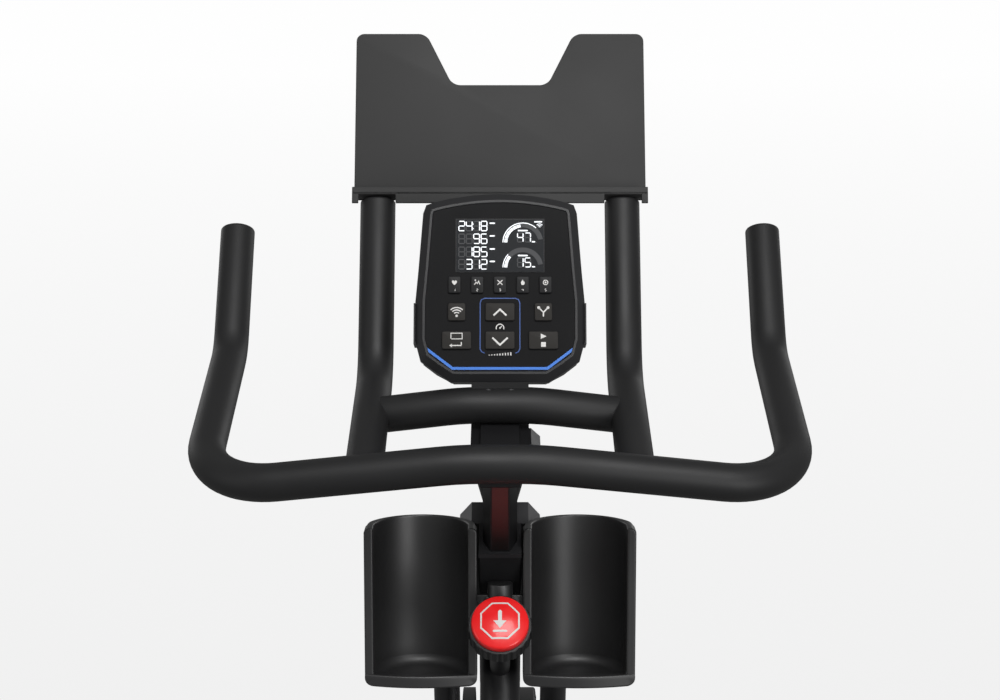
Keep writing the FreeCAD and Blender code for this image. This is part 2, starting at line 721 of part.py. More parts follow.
def brake_foot():
    """How far along its own axis the brake rod meets the flywheel's rim."""
    turn = math.radians(BRAKE_TILT)
    ahead = math.sin(turn)
    down = math.cos(turn)
    dy = BRAKE_AT[0] - WHEEL_AT[0]
    dz = BRAKE_AT[1] - WHEEL_AT[1]
    half_b = dy * ahead - dz * down
    rest = dy * dy + dz * dz - (FLYWHEEL / 2) ** 2
    return -half_b - math.sqrt(half_b * half_b - rest)


def make_main_frame():
    receiver = receiver_body(POST_LEAN, RECEIVER_TOP, RECEIVER_LENGTH)
    receiver_hole = receiver_space(POST_LEAN, RECEIVER_TOP, RECEIVER_LENGTH)
    top = V(0, DOWN_JOIN[0], DOWN_JOIN[1])
    crank = V(0, CRANK_AT[0], CRANK_AT[1])
    down = rod(crank, top, DOWNTUBE / 2)
    run = (top - crank).normalize()
    down_core = rod(crank + run * 45, top - run * 30, DOWNTUBE / 2 - TUBE_WALL)
    seat_at = seat_tube_top()
    seat = receiver_body(SEAT_LEAN, seat_at, SEAT_TUBE_LENGTH)
    seat_hole = receiver_space(SEAT_LEAN, seat_at, SEAT_TUBE_LENGTH - SHELL)
    beam_run = FRONT_Y - REAR_Y + STABILIZER_DEPTH
    beam = block(0, REAR_Y - STABILIZER_DEPTH / 2, STABILIZER_TOP, BEAM, beam_run, BEAM)
    beam_core = block(0, REAR_Y, STABILIZER_TOP + TUBE_WALL, BEAM - 2 * TUBE_WALL,
                      beam_run - STABILIZER_DEPTH, BEAM - 2 * TUBE_WALL)
    strut_foot = local_point(CRANK_AT, SEAT_LEAN, 0, 0, -(CRANK_HEIGHT - BEAM_TOP + 6) / SEAT_LEAN_COS)
    strut = rod(crank, strut_foot, DOWNTUBE / 2)
    shell = barrel(SHELL_LEFT, SHELL_RIGHT, CRANK_AT, SHELL / 2)
    sleeve = rod(local_point(BRAKE_AT, BRAKE_TILT, 0, 0, SLEEVE_TOP),
                 local_point(BRAKE_AT, BRAKE_TILT, 0, 0, SLEEVE_FOOT), BRAKE_SLEEVE / 2)
    bore = rod(local_point(BRAKE_AT, BRAKE_TILT, 0, 0, 0),
               local_point(BRAKE_AT, BRAKE_TILT, 0, 0, -400), BRAKE_ROD / 2 + RUNNING)
    tubes = fused([down, seat, beam, strut, shell]).cut(down_core).cut(beam_core)
    tubes = fused([tubes, sleeve, magnet_bracket()]).cut(receiver).cut(seat_hole).cut(bore)
    tubes = tubes.cut(barrel(SHELL_LEFT - 1, SHELL_RIGHT + 1, CRANK_AT, BEARING / 2))
    receiver = receiver.cut(receiver_hole).cut(bore)
    for hole in clamp_holes():
        tubes = tubes.cut(hole)
        receiver = receiver.cut(hole)
    return Part.makeCompound([receiver.Solids[0], max(tubes.Solids, key=lambda solid: solid.Volume)])


def height_knob_place(lean, at, below):
    """The tip of a clamp screw, just off the front face of a post."""
    tip = local_point(at, lean, 0, POST_OFFSET + POST_DEPTH + SOFT_GAP, -below)
    return (tip.y, tip.z)


def clamp_holes():
    """Bores through the receivers' front walls for the height clamp screws."""
    holes = []
    for lean, at, below in ((POST_LEAN, RECEIVER_TOP, HEIGHT_KNOB_DROP),
                            (SEAT_LEAN, seat_tube_top(), SEAT_KNOB_DROP)):
        hole = Part.makeCylinder(KNOB_SCREW / 2 + RUNNING, 20, V(0, 0, 0), V(0, 1, 0))
        holes.append(tilted(hole, height_knob_place(lean, at, below), lean))
    return holes


def make_height_knob(lean, at, below, reach):
    return clamp_knob(height_knob_place(lean, at, below), lean - 90.0, reach)


def magnet_bracket():
    """Two ears on the base beam, bored for the magnet arm's pin."""
    foot = MAGNET_PIVOT[0]
    ear = side_prism([(foot - 22, BEAM_TOP - 1), (foot + 22, BEAM_TOP - 1), (foot + 9, MAGNET_PIVOT[1] + 9),
                      (foot - 9, MAGNET_PIVOT[1] + 9)], 13, 18)
    ears = both_sides(ear)
    return Part.makeCompound(ears.Solids).cut(barrel(-30, 30, MAGNET_PIVOT, MAGNET_PIN / 2 + RUNNING))


def magnet_point(outward, along):
    """A point of the magnet bracket, out from the flywheel's middle and along its rim."""
    turn = math.radians(MAGNET_ANGLE)
    return (WHEEL_AT[0] + outward * math.cos(turn) - along * math.sin(turn),
            WHEEL_AT[1] + outward * math.sin(turn) + along * math.cos(turn))


def make_magnet_arm():
    """A bracket of a back plate and two cheeks that straddle the rim, on an arm with its own pin."""
    back = FLYWHEEL / 2 + MAGNET_GAP
    half = MAGNET_LENGTH / 2
    plate = side_prism([magnet_point(back, -half), magnet_point(back + MAGNET_PLATE, -half),
                        magnet_point(back + MAGNET_PLATE, half), magnet_point(back, half)],
                       -MAGNET_WIDTH / 2, MAGNET_WIDTH / 2)
    low = FLYWHEEL / 2 - MAGNET_OVERLAP
    cheek = side_prism([magnet_point(low, 20 - half), magnet_point(back, -half), magnet_point(back, half),
                        magnet_point(low, half - 20)], MAGNET_WIDTH / 2 - MAGNET_CHEEK, MAGNET_WIDTH / 2)
    hub = barrel(-12, 12, MAGNET_PIVOT, 10)
    pin = barrel(-20, 20, MAGNET_PIVOT, MAGNET_PIN / 2)
    top = magnet_point(back + MAGNET_PLATE / 2, MAGNET_ARM_ALONG)
    arm = rod(V(0, MAGNET_PIVOT[0], MAGNET_PIVOT[1]), V(0, top[0], top[1]), 8)
    arm = arm.cut(side_prism([magnet_point(back, -100), magnet_point(back - 60, -100),
                              magnet_point(back - 60, 100), magnet_point(back, 100)], -30, 30))
    return Part.makeCompound([fused([plate, hub, pin, arm]), cheek, mirrored(cheek)])


def leg_line(height):
    """Y of a fork leg's middle at a height."""
    return WHEEL_AT[0] + LEG_RUN * (WHEEL_AT[1] - height)


def make_front_fork():
    """Crown, two round legs and the plates that they stand on."""
    half = LEG_SPACING / 2
    foot = V(half, leg_line(STABILIZER_TOP), STABILIZER_TOP)
    top = V(half, leg_line(CROWN_AT[1]), CROWN_AT[1])
    leg = rod(foot, top, LEG / 2)
    plate = block(half, FRONT_Y - STABILIZER_DEPTH / 2, STABILIZER_TOP, 50, STABILIZER_DEPTH, FORK_PLATE)
    plate = plate.cut(block(0, FRONT_Y - 50, STABILIZER_TOP - 1, BEAM, 100, 10))
    side = fused([leg.cut(block(half, foot.y - 50, STABILIZER_TOP - 50, 100, 100, 50)), plate])
    crown = block(0, CROWN_AT[0] - 20, CROWN_AT[1] - 20, LEG_SPACING + LEG, 40, 40)
    crown = crown.makeFillet(6.0, [edge for edge in crown.Edges if edge.BoundBox.XLength > 50])
    fork = fused([crown, side, mirrored(side)])
    fork = fork.cut(receiver_body(POST_LEAN, RECEIVER_TOP, RECEIVER_LENGTH))
    return fork.cut(barrel(-100, 100, WHEEL_AT, AXLE / 2))


def cowl_outline(inset, y):
    """The hood's front view: upright sides and a bevelled top."""
    wide = COWL_WIDTH / 2 - inset
    top = COWL_TOP / 2 - inset * 0.4
    low = -COWL_HEIGHT + inset
    high = -COWL_CREST - inset
    points = [(-wide, low), (wide, low), (wide, -COWL_SHOULDER), (top, high), (-top, high),
              (-wide, -COWL_SHOULDER)]
    return [V(x, y, z) for x, z in points]


def make_head_cowl():
    """Hood on the front of the receiver, open where the clamp knob's screw passes."""
    outer = prism(cowl_outline(0, RECEIVER_DEPTH), V(0, COWL_DEPTH, 0))
    face = RECEIVER_DEPTH + COWL_DEPTH
    outer = outer.makeChamfer(COWL_BEVEL, [edge for edge in outer.Edges if edge.BoundBox.YMin > face - 1])
    inner = prism(cowl_outline(COWL_WALL, RECEIVER_DEPTH + COWL_WALL),
                  V(0, COWL_DEPTH - COWL_BEVEL - COWL_WALL, 0))
    hole = Part.makeCylinder(KNOB_HOLE / 2, 2 * face, V(0, 0, -HEIGHT_KNOB_DROP), V(0, 1, 0))
    hood = tilted(outer.cut(inner).cut(hole), RECEIVER_TOP, POST_LEAN)
    return hood.cut(trough_space())


def trough_plan(half, straight, depth, front=0.0):
    """Plan of a trough: straight sides, then one arc round the back."""
    left = V(-half, straight, 0)
    right = V(half, straight, 0)
    edges = [Part.makeLine(V(-half, front, 0), left), Part.Arc(left, V(0, depth, 0), right).toShape(),
             Part.makeLine(right, V(half, front, 0)), Part.makeLine(V(half, front, 0), V(-half, front, 0))]
    return Part.Face(Part.Wire(edges))


def trough_space():
    """The room that the two troughs take up, with a small gap round their backs."""
    half = TROUGH_OUTER / 2 + SOFT_GAP
    space = trough_plan(half, TROUGH_STRAIGHT, TROUGH_DEPTH + TROUGH_BACK + SOFT_GAP)
    space = space.extrude(V(0, 0, TROUGH_HEIGHT + 2 * SOFT_GAP))
    space.translate(V(TROUGH_CENTRE, 0, -TROUGH_HEIGHT / 2 - TROUGH_DROP - SOFT_GAP))
    return tilted(both_sides(space), HOLDER_AT, -HOLDER_LEAN)


def rounded_front(width, low, height):
    """A block that rounds what it is met with, as seen from the rider's side."""
    body = block(0, -50, low, width, 200, height)
    return body.makeFillet(TROUGH_CORNER, [edge for edge in body.Edges if edge.BoundBox.YLength > 1])


def make_bottle_holder():
    """Two open-fronted troughs and the bridge between them, one moulding."""
    half = TROUGH_OUTER / 2
    low = -TROUGH_HEIGHT / 2 - TROUGH_DROP
    body = trough_plan(half, TROUGH_STRAIGHT, TROUGH_DEPTH + TROUGH_BACK).extrude(V(0, 0, TROUGH_HEIGHT))
    curve = Part.Arc(V(-half, 0, 0), V(0, -TROUGH_LIP, 0), V(half, 0, 0)).toShape()
    chord = Part.makeLine(V(half, 0, 0), V(-half, 0, 0))
    apron = Part.Face(Part.Wire([curve, chord])).extrude(V(0, 0, TROUGH_FLOOR))
    hollow = trough_plan(TROUGH_INNER / 2, TROUGH_STRAIGHT, TROUGH_DEPTH, -20)
    hollow = hollow.extrude(V(0, 0, TROUGH_HEIGHT))
    hollow.translate(V(0, 0, TROUGH_FLOOR))
    hollow = hollow.common(rounded_front(TROUGH_INNER, TROUGH_FLOOR, 2 * TROUGH_HEIGHT))
    trough = fused([body, apron]).common(rounded_front(TROUGH_OUTER, 0, TROUGH_HEIGHT)).cut(hollow)
    trough.translate(V(TROUGH_CENTRE, 0, low))
    between = 2 * (TROUGH_CENTRE - half)
    bridge = block(0, BRIDGE_DEPTH, BRIDGE_LOW, between + 2, BRIDGE_THICK, BRIDGE_HIGH - BRIDGE_LOW)
    notch = Part.makeCylinder(BRAKE_SLEEVE / 2 + 3, 40, V(0, -20, BRIDGE_LOW), V(0, 1, 0))
    holder = fused([trough, mirrored(trough), bridge.cut(notch)])
    boss_y = BRIDGE_DEPTH + BRIDGE_THICK / 2
    boss = Part.makeCylinder(BOSS / 2, 60, V(0, boss_y, -SCREW_DROP), V(0, 1, 0))
    stud = Part.makeCylinder(BOSS / 2, BOSS_RISE + 4, V(0, boss_y, BRIDGE_HIGH - 4))
    holder = tilted(fused([holder, boss, stud]), HOLDER_AT, -HOLDER_LEAN)
    ahead = block(0, 0, -400, 300, 400, 800)
    behind_rim = tilted(ahead, RECEIVER_TOP, POST_LEAN)
    keep = tilted(block(0, -40, -400, between - 2 * FIT, 200, 800), HOLDER_AT, -HOLDER_LEAN)
    middle = holder.common(keep).cut(behind_rim)
    sides = holder.cut(keep)
    whole = fused([middle, sides])
    return whole.cut(holder_screw_holes())


def holder_screw_holes():
    """Bores through the bridge for its two screws."""
    screws = [Part.makeCylinder(SCREW / 2, 24, V(x, 2, -SCREW_DROP), V(0, 1, 0))
              for x in (-SCREW_SPACING / 2, SCREW_SPACING / 2)]
    return tilted(Part.makeCompound(screws), HOLDER_AT, -HOLDER_LEAN)


def hull_outline(front, rear):
    """Side view of the belt guard: two circles joined by their outer tangents."""
    run = WHEEL_AT[0] - CRANK_AT[0]
    lean = math.asin((front - rear) / run)
    points = []
    for at, radius in ((CRANK_AT, rear), (WHEEL_AT, front)):
        points.append((at[0] - radius * math.sin(lean), at[1] + radius * math.cos(lean)))
    (rear_y, rear_z), (front_y, front_z) = points
    low = 2 * CRANK_HEIGHT
    edges = [Part.makeLine(V(0, rear_y, rear_z), V(0, front_y, front_z)),
             Part.Arc(V(0, front_y, front_z), V(0, WHEEL_AT[0] + front, WHEEL_AT[1]),
                      V(0, front_y, low - front_z)).toShape(),
             Part.makeLine(V(0, front_y, low - front_z), V(0, rear_y, low - rear_z)),
             Part.Arc(V(0, rear_y, low - rear_z), V(0, CRANK_AT[0] - rear, CRANK_AT[1]),
                      V(0, rear_y, rear_z)).toShape()]
    return Part.Face(Part.Wire(edges))


def guard_slab(x_from, x_to, inset=0.0):
    slab = hull_outline(COVER_FRONT - inset, COVER_REAR - inset).extrude(V(x_to - x_from, 0, 0))
    slab.translate(V(x_from, 0, 0))
    return slab


def make_drive_cover_inner():
    plate = guard_slab(COVER_INNER, COVER_INNER + COVER_SKIN)
    plate = plate.cut(barrel(0, 60, CRANK_AT, CRANK_AXLE / 2 + 3))
    return plate.cut(barrel(0, 60, WHEEL_AT, 24))


def make_drive_cover_outer():
    shell = guard_slab(COVER_INNER + COVER_SKIN, COVER_OUTER)
    shell = shell.makeFillet(3.0, [edge for edge in shell.Edges if edge.BoundBox.XMin > COVER_OUTER - 0.1])
    shell = shell.cut(guard_slab(COVER_INNER, COVER_OUTER - COVER_SKIN, COVER_SKIN))
    shell = shell.cut(barrel(0, 60, CRANK_AT, CRANK_AXLE / 2 + 4))
    return shell.cut(barrel(0, 60, WHEEL_AT, 12))


def make_flywheel_cover():
    """The thin round guard between the flywheel and the left leg."""
    inner = -(LEG_SPACING - LEG) / 2
    disc = barrel(inner, inner + 3, WHEEL_AT, COVER_FRONT)
    rim = ring(inner, inner + 14, WHEEL_AT, COVER_FRONT, COVER_FRONT - 3)
    disc = fused([disc, rim])
    return disc.cut(barrel(-90, 0, WHEEL_AT, 14))


def make_flywheel():
    half = FLYWHEEL_RIM / 2
    outer = FLYWHEEL / 2
    rim = ring(-half, half, WHEEL_AT, outer, outer - FLYWHEEL_RIM_DEPTH)
    web = barrel(-FLYWHEEL_WEB / 2, FLYWHEEL_WEB / 2, WHEEL_AT, outer - FLYWHEEL_RIM_DEPTH + 1)
    hub = barrel(HUB_LEFT, HUB_RIGHT, WHEEL_AT, HUB / 2)
    return fused([rim, web, hub]).cut(barrel(-60, 60, WHEEL_AT, HUB_BORE / 2))


def make_flywheel_pulley():
    low = BELT_PLANE - BELT_WIDTH / 2
    high = BELT_PLANE + BELT_WIDTH / 2
    body = barrel(HUB_RIGHT, high + 1.5, WHEEL_AT, FLY_PULLEY / 2)
    flange = barrel(high + 0.3, high + 1.5, WHEEL_AT, FLY_PULLEY / 2 + 3)
    flange_in = barrel(low - 1.5, low - 0.3, WHEEL_AT, FLY_PULLEY / 2 + 3)
    return fused([body, flange, flange_in]).cut(barrel(0, 60, WHEEL_AT, AXLE / 2 + 1))


def make_flywheel_axle():
    reach = LEG_SPACING / 2 + LEG / 2 + 16
    return barrel(-reach, reach, WHEEL_AT, AXLE / 2)


def make_bearings():
    """Ball bearings: two carry the crank axle and two carry the flywheel."""
    crank = [ring(SHELL_LEFT, SHELL_LEFT + BEARING_WIDTH, CRANK_AT, BEARING / 2, CRANK_AXLE / 2 + RUNNING),
             ring(SHELL_RIGHT - BEARING_WIDTH, SHELL_RIGHT, CRANK_AT, BEARING / 2, CRANK_AXLE / 2 + RUNNING)]
    outer = HUB_BORE / 2 - RUNNING
    wheel = [ring(HUB_LEFT, HUB_LEFT + 10, WHEEL_AT, outer, AXLE / 2),
             ring(HUB_RIGHT - 10, HUB_RIGHT, WHEEL_AT, outer, AXLE / 2)]
    return Part.makeCompound(crank + wheel)


def belt_loop(grow):
    """Side view of the belt's inner face, grown outwards."""
    run = WHEEL_AT[0] - CRANK_AT[0]
    large = DRIVE_PULLEY / 2 + grow
    small = FLY_PULLEY / 2 + grow
    lean = math.asin((large - small) / run)
    rear = (CRANK_AT[0] + large * math.sin(lean), CRANK_AT[1] + large * math.cos(lean))
    front = (WHEEL_AT[0] + small * math.sin(lean), WHEEL_AT[1] + small * math.cos(lean))
    low = 2 * CRANK_HEIGHT
    edges = [Part.makeLine(V(0, rear[0], rear[1]), V(0, front[0], front[1])),
             Part.Arc(V(0, front[0], front[1]), V(0, WHEEL_AT[0] + small, WHEEL_AT[1]),
                      V(0, front[0], low - front[1])).toShape(),
             Part.makeLine(V(0, front[0], low - front[1]), V(0, rear[0], low - rear[1])),
             Part.Arc(V(0, rear[0], low - rear[1]), V(0, CRANK_AT[0] - large, CRANK_AT[1]),
                      V(0, rear[0], rear[1])).toShape()]
    return Part.Face(Part.Wire(edges))


def make_drive_belt():
    outer = belt_loop(RUNNING + BELT_THICK).extrude(V(BELT_WIDTH, 0, 0))
    inner = belt_loop(RUNNING).extrude(V(BELT_WIDTH, 0, 0))
    belt = outer.cut(inner)
    belt.translate(V(BELT_PLANE - BELT_WIDTH / 2, 0, 0))
    return belt


def make_drive_pulley():
    low = BELT_PLANE - BELT_WIDTH / 2
    high = BELT_PLANE + BELT_WIDTH / 2
    radius = DRIVE_PULLEY / 2
    rim = ring(low, high, CRANK_AT, radius, radius - 8)
    web = barrel(BELT_PLANE - 2, BELT_PLANE + 2, CRANK_AT, radius - 7)
    for index in range(5):
        turn = 2 * math.pi * index / 5
        hole = (CRANK_AT[0] + 54 * math.cos(turn), CRANK_AT[1] + 54 * math.sin(turn))
        web = web.cut(barrel(0, 60, hole, 17))
    hub = barrel(low, high, CRANK_AT, 22)
    return fused([rim, web, hub]).cut(barrel(0, 60, CRANK_AT, CRANK_AXLE / 2))


def make_crank_axle():
    reach = CRANK_INNER + CRANK_THICK
    return barrel(-reach, reach, CRANK_AT, CRANK_AXLE / 2)


def crank_end(side):
    """Where a crank carries its pedal: the right one forward, the left one back."""
    return (CRANK_AT[0] + side * CRANK, CRANK_AT[1])


def make_crank(side):
    inner = side * CRANK_INNER
    outer = side * (CRANK_INNER + CRANK_THICK)
    low, high = min(inner, outer), max(inner, outer)
    end = crank_end(side)
    arm = side_prism([(CRANK_AT[0], CRANK_AT[1] - 16), (end[0], end[1] - 12), (end[0], end[1] + 12),
                      (CRANK_AT[0], CRANK_AT[1] + 16)], low, high)
    arm = fused([arm, barrel(low, high, CRANK_AT, 20), barrel(low, high, end, 14)])
    return arm.cut(barrel(-100, 100, CRANK_AT, CRANK_AXLE / 2)).cut(
        barrel(-100, 100, end, PEDAL_PIN / 2 + RUNNING))


def make_pedal(side):
    """The pedal with its spindle, its platform and the toe cage bolted to its front."""
    end = crank_end(side)
    start = CRANK_INNER + CRANK_THICK + 6
    middle = start + PEDAL_LENGTH / 2
    body = block(middle, end[0] - PEDAL_DEPTH / 2, end[1] - PEDAL_HEIGHT / 2, PEDAL_LENGTH, PEDAL_DEPTH,
                 PEDAL_HEIGHT)
    body = body.makeFillet(8.0, [edge for edge in body.Edges if edge.BoundBox.ZLength > 1])
    for x in (middle - 26, middle + 26):
        body = body.cut(block(x, end[0] - 30, end[1] - 30, 32, 20, 60))
        body = body.cut(block(x, end[0] + 10, end[1] - 30, 32, 20, 60))
    spindle = barrel(CRANK_INNER + 1, start + 20, end, PEDAL_PIN / 2)
    collar = barrel(start - 4, start + 1, end, 9)
    pedal = fused([body, spindle, collar])
    nose = end[0] + PEDAL_DEPTH / 2
    base = end[1] - PEDAL_HEIGHT / 2
    cage = side_prism([(nose, base), (nose + 3, base), (nose + 34, base + 30), (nose + 30, base + 62),
                       (nose - 24, base + 84), (nose - 25, base + 81), (nose + 26, base + 59),
                       (nose + 30, base + 31), (nose, base + 4)], middle - 36, middle + 36)
    whole = Part.makeCompound([pedal, cage])
    if side < 0:
        whole = mirrored(whole)
    return whole


def make_servo():
    body = block(0, MAGNET_PIVOT[0] - 100, BEAM_TOP, 36, 52, 46)
    horn = barrel(-6, 6, (MAGNET_PIVOT[0] - 60, BEAM_TOP + 50), 9)
    neck = block(0, MAGNET_PIVOT[0] - 66, BEAM_TOP + 40, 12, 12, 10)
    return fused([body, horn, neck])


# ---- brake --------------------------------------------------------------
def make_brake_knob():
    """Fluted skirt, open below, that rides on the rod above the sleeve."""
    skirt = fluted_knob(BRAKE_SKIRT / 2, BRAKE_SKIRT_HEIGHT, BRAKE_FLUTES)
    skirt = skirt.cut(Part.makeCylinder(BRAKE_SLEEVE / 2 + 5, SKIRT_BORE_DEPTH, V(0, 0, -0.1)))
    skirt = skirt.cut(Part.makeCylinder(BRAKE_ROD / 2, 60, V(0, 0, -10)))
    skirt.translate(V(0, 0, -BRAKE_CAP_BASE - BRAKE_SKIRT_HEIGHT))
    return tilted(skirt, BRAKE_AT, BRAKE_TILT)


def make_brake_cap():
    """The domed cap on top of the knob."""
    radius = BRAKE_CAP / 2
    sphere = (radius * radius + BRAKE_DOME * BRAKE_DOME) / (2 * BRAKE_DOME)
    dome = Part.makeSphere(sphere, V(0, 0, BRAKE_DOME - sphere))
    dome = dome.common(Part.makeCylinder(radius, BRAKE_DOME, V(0, 0, 0)))
    base = Part.makeCylinder(radius, BRAKE_CAP_BASE, V(0, 0, -BRAKE_CAP_BASE))
    return tilted(fused([dome, base]), BRAKE_AT, BRAKE_TILT)


def make_brake_rod():
    """The rod and the felt pad's shoe at its foot."""
    foot = brake_foot() - BRAKE_TRAVEL - 1.0
    low = SHOE_HEIGHT - 2.0 - foot
    shaft = Part.makeCylinder(BRAKE_ROD / 2, -BRAKE_CAP_BASE - low, V(0, 0, low))
    shoe = block(0, -SHOE_LENGTH / 2, -foot, SHOE_WIDTH, SHOE_LENGTH, SHOE_HEIGHT)
    shoe = shoe.makeFillet(4.0, [edge for edge in shoe.Edges if edge.BoundBox.ZLength > 1])
    whole = tilted(fused([shaft, shoe]), BRAKE_AT, BRAKE_TILT)
    shift = local_point((0, 0), BRAKE_TILT, 0, 0, BRAKE_TRAVEL + 0.6)
    space = barrel(-40, 40, (WHEEL_AT[0] + shift.y, WHEEL_AT[1] + shift.z), FLYWHEEL / 2)
    return whole.cut(space)


def make_brake_spring():
    """Coil of flat wire round the rod, between the sleeve's top and the knob."""
    high = SKIRT_BORE_DEPTH - BRAKE_CAP_BASE - BRAKE_SKIRT_HEIGHT - SOFT_GAP
    half = SPRING_WIRE / 2
    rise = high - SLEEVE_TOP - SPRING_WIRE - 2 * SOFT_GAP
    middle = BRAKE_ROD / 2 + 2.0 + half
    helix = Part.makeHelix(rise / SPRING_TURNS, rise, middle)
    corners = [V(middle + x, 0, z) for x, z in ((-half, -half), (half, -half), (half, half), (-half, half))]
    profile = Part.makePolygon(corners + [corners[0]])
    coil = Part.Wire(helix).makePipeShell([profile], True, True)
    coil.translate(V(0, 0, SLEEVE_TOP + SOFT_GAP + half))
    return tilted(coil, BRAKE_AT, BRAKE_TILT)


# ---- stabilizers, feet, wheels, fasteners -------------------------------
def stabilizer_tube(y):
    width = STABILIZER_WIDTH - 2 * CAP_WALL
    tube = block(0, y - STABILIZER_DEPTH / 2, STABILIZER_Z, width, STABILIZER_DEPTH, STABILIZER_HEIGHT)
    tube = tube.makeFillet(8.0, [edge for edge in tube.Edges if edge.BoundBox.XLength > 50])
    core = block(0, y - STABILIZER_DEPTH / 2 + TUBE_WALL, STABILIZER_Z + TUBE_WALL, width + 2,
                 STABILIZER_DEPTH - 2 * TUBE_WALL, STABILIZER_HEIGHT - 2 * TUBE_WALL)
    core = core.makeFillet(6.0, [edge for edge in core.Edges if edge.BoundBox.XLength > 50])
    return tube.cut(core)


def wheel_axis():
    return (FRONT_Y + STABILIZER_DEPTH / 2 + WHEEL / 2 + 4, WHEEL_HEIGHT)


def make_front_stabilizer():
    """The tube with a forked bracket for each transport wheel."""
    at = wheel_axis()
    face = FRONT_Y + STABILIZER_DEPTH / 2
    parts = [stabilizer_tube(FRONT_Y)]
    for side in (-1, 1):
        for inner in (-1, 1):
            x = side * WHEEL_SPACING / 2 + inner * (WHEEL_WIDTH / 2 + 3)
            ear = side_prism([(face - 3, STABILIZER_Z + 9), (at[0], at[1] - 9), (at[0], at[1] + 9),
                              (face - 3, STABILIZER_TOP - 9)], x - 2, x + 2)
            parts.append(fused([ear, barrel(x - 2, x + 2, at, 9)]))
        x = side * WHEEL_SPACING / 2
        parts.append(barrel(x - WHEEL_WIDTH / 2 - 5, x + WHEEL_WIDTH / 2 + 5, at, 4))
    core = block(0, FRONT_Y - STABILIZER_DEPTH / 2 + TUBE_WALL, STABILIZER_Z + TUBE_WALL + 6,
                 STABILIZER_WIDTH, STABILIZER_DEPTH - 2 * TUBE_WALL, STABILIZER_HEIGHT - 2 * TUBE_WALL - 12)
    return fused(parts).cut(core)


def make_wheel(side):
    x = side * WHEEL_SPACING / 2
    at = wheel_axis()
    tread = barrel(x - WHEEL_WIDTH / 2, x + WHEEL_WIDTH / 2, at, WHEEL / 2)
    tread = tread.makeFillet(3.0, [tread.Edges[0], tread.Edges[2]])
    return tread.cut(barrel(x - 30, x + 30, at, 4 + RUNNING))


def stem_hole(side):
    """The bore that a levelling foot's stem passes through."""
    place = V(side * FOOT_SPACING / 2, REAR_Y, STABILIZER_Z - 8)
    return Part.makeCylinder(FOOT_STEM / 2 + RUNNING, 20, place)


def make_rear_stabilizer():
    return stabilizer_tube(REAR_Y).cut(stem_hole(-1)).cut(stem_hole(1))


def make_foot(side):
    """Levelling foot: a rubber pad and its threaded stem."""
    x = side * FOOT_SPACING / 2
    pad = Part.makeCylinder(FOOT / 2, 12, V(x, REAR_Y, 0))
    pad = pad.makeFillet(3.0, [edge for edge in pad.Edges if edge.BoundBox.XLength > 1
                               and edge.BoundBox.ZMin > 6])
    nut = Part.makeCylinder(9, 8, V(x, REAR_Y, 12))
    stem = Part.makeCylinder(FOOT_STEM / 2, STABILIZER_Z - 19, V(x, REAR_Y, 19))
    top = Part.makeCylinder(FOOT_STEM / 2, 14, V(x, REAR_Y, STABILIZER_Z))
    return fused([pad, nut, stem, top])


def make_cap(y, side, foot):
    """End cap over the stabilizer's end, with a rubber pad below it at the front."""
    outer = block(side * (STABILIZER_WIDTH - CAP_LENGTH) / 2, y - STABILIZER_DEPTH / 2 - CAP_WALL,
                  STABILIZER_Z - CAP_WALL, CAP_LENGTH, STABILIZER_DEPTH + 2 * CAP_WALL,
                  STABILIZER_HEIGHT + 2 * CAP_WALL)
    outer = outer.makeFillet(9.0, [edge for edge in outer.Edges if edge.BoundBox.XLength > 40])
    if foot:
        pad = block(side * (STABILIZER_WIDTH - CAP_LENGTH) / 2, y - CAP_PAD[1] / 2, 0, *CAP_PAD)
        pad = pad.makeFillet(6.0, [edge for edge in pad.Edges if edge.BoundBox.ZLength > 10])
        outer = fused([outer, pad])
    width = STABILIZER_WIDTH - 2 * CAP_WALL
    tube = block(0, y - STABILIZER_DEPTH / 2, STABILIZER_Z, width, STABILIZER_DEPTH, STABILIZER_HEIGHT)
    tube = tube.makeFillet(8.0, [edge for edge in tube.Edges if edge.BoundBox.XLength > 50])
    return outer.cut(tube)


def make_stabilizer_caps():
    caps = []
    for side in (-1, 1):
        caps.append(make_cap(FRONT_Y, side, True))
        caps.append(make_cap(REAR_Y, side, False).cut(stem_hole(side)))
    return Part.makeCompound(caps)


def make_frame_bolts():
    """Bolt heads of the stabilizers, axle nuts and the bottle holder's two screws."""
    bolts = []
    for side in (-1, 1):
        for y in (FRONT_Y - 20, FRONT_Y + 20):
            place = V(side * (LEG_SPACING / 2 + 18), y, STABILIZER_TOP + FORK_PLATE)
            bolts.append(Part.makeCylinder(BOLT_HEAD / 2, BOLT_HEIGHT, place))
        middle = side * ((LEG_SPACING + LEG + AXLE_NUT_LENGTH) / 2)
        bolts.append(ring(middle - AXLE_NUT_LENGTH / 2, middle + AXLE_NUT_LENGTH / 2, WHEEL_AT,
                          AXLE_NUT / 2, AXLE / 2))
    for y in (REAR_Y - 16, REAR_Y + 16):
        bolts.append(Part.makeCylinder(REAR_BOLT_HEAD / 2, BOLT_HEIGHT, V(0, y, BEAM_TOP)))
    screws = []
    head_at = BRIDGE_DEPTH - SCREW_HEAD_HEIGHT
    for x in (-SCREW_SPACING / 2, SCREW_SPACING / 2):
        head = Part.makeCylinder(SCREW_HEAD / 2, SCREW_HEAD_HEIGHT, V(x, head_at, -SCREW_DROP), V(0, 1, 0))
        shank = Part.makeCylinder(SCREW / 2, 8, V(x, BRIDGE_DEPTH - 0.5, -SCREW_DROP), V(0, 1, 0))
        screws.append(tilted(fused([head, shank]), HOLDER_AT, -HOLDER_LEAN))
    return Part.makeCompound(bolts + screws)


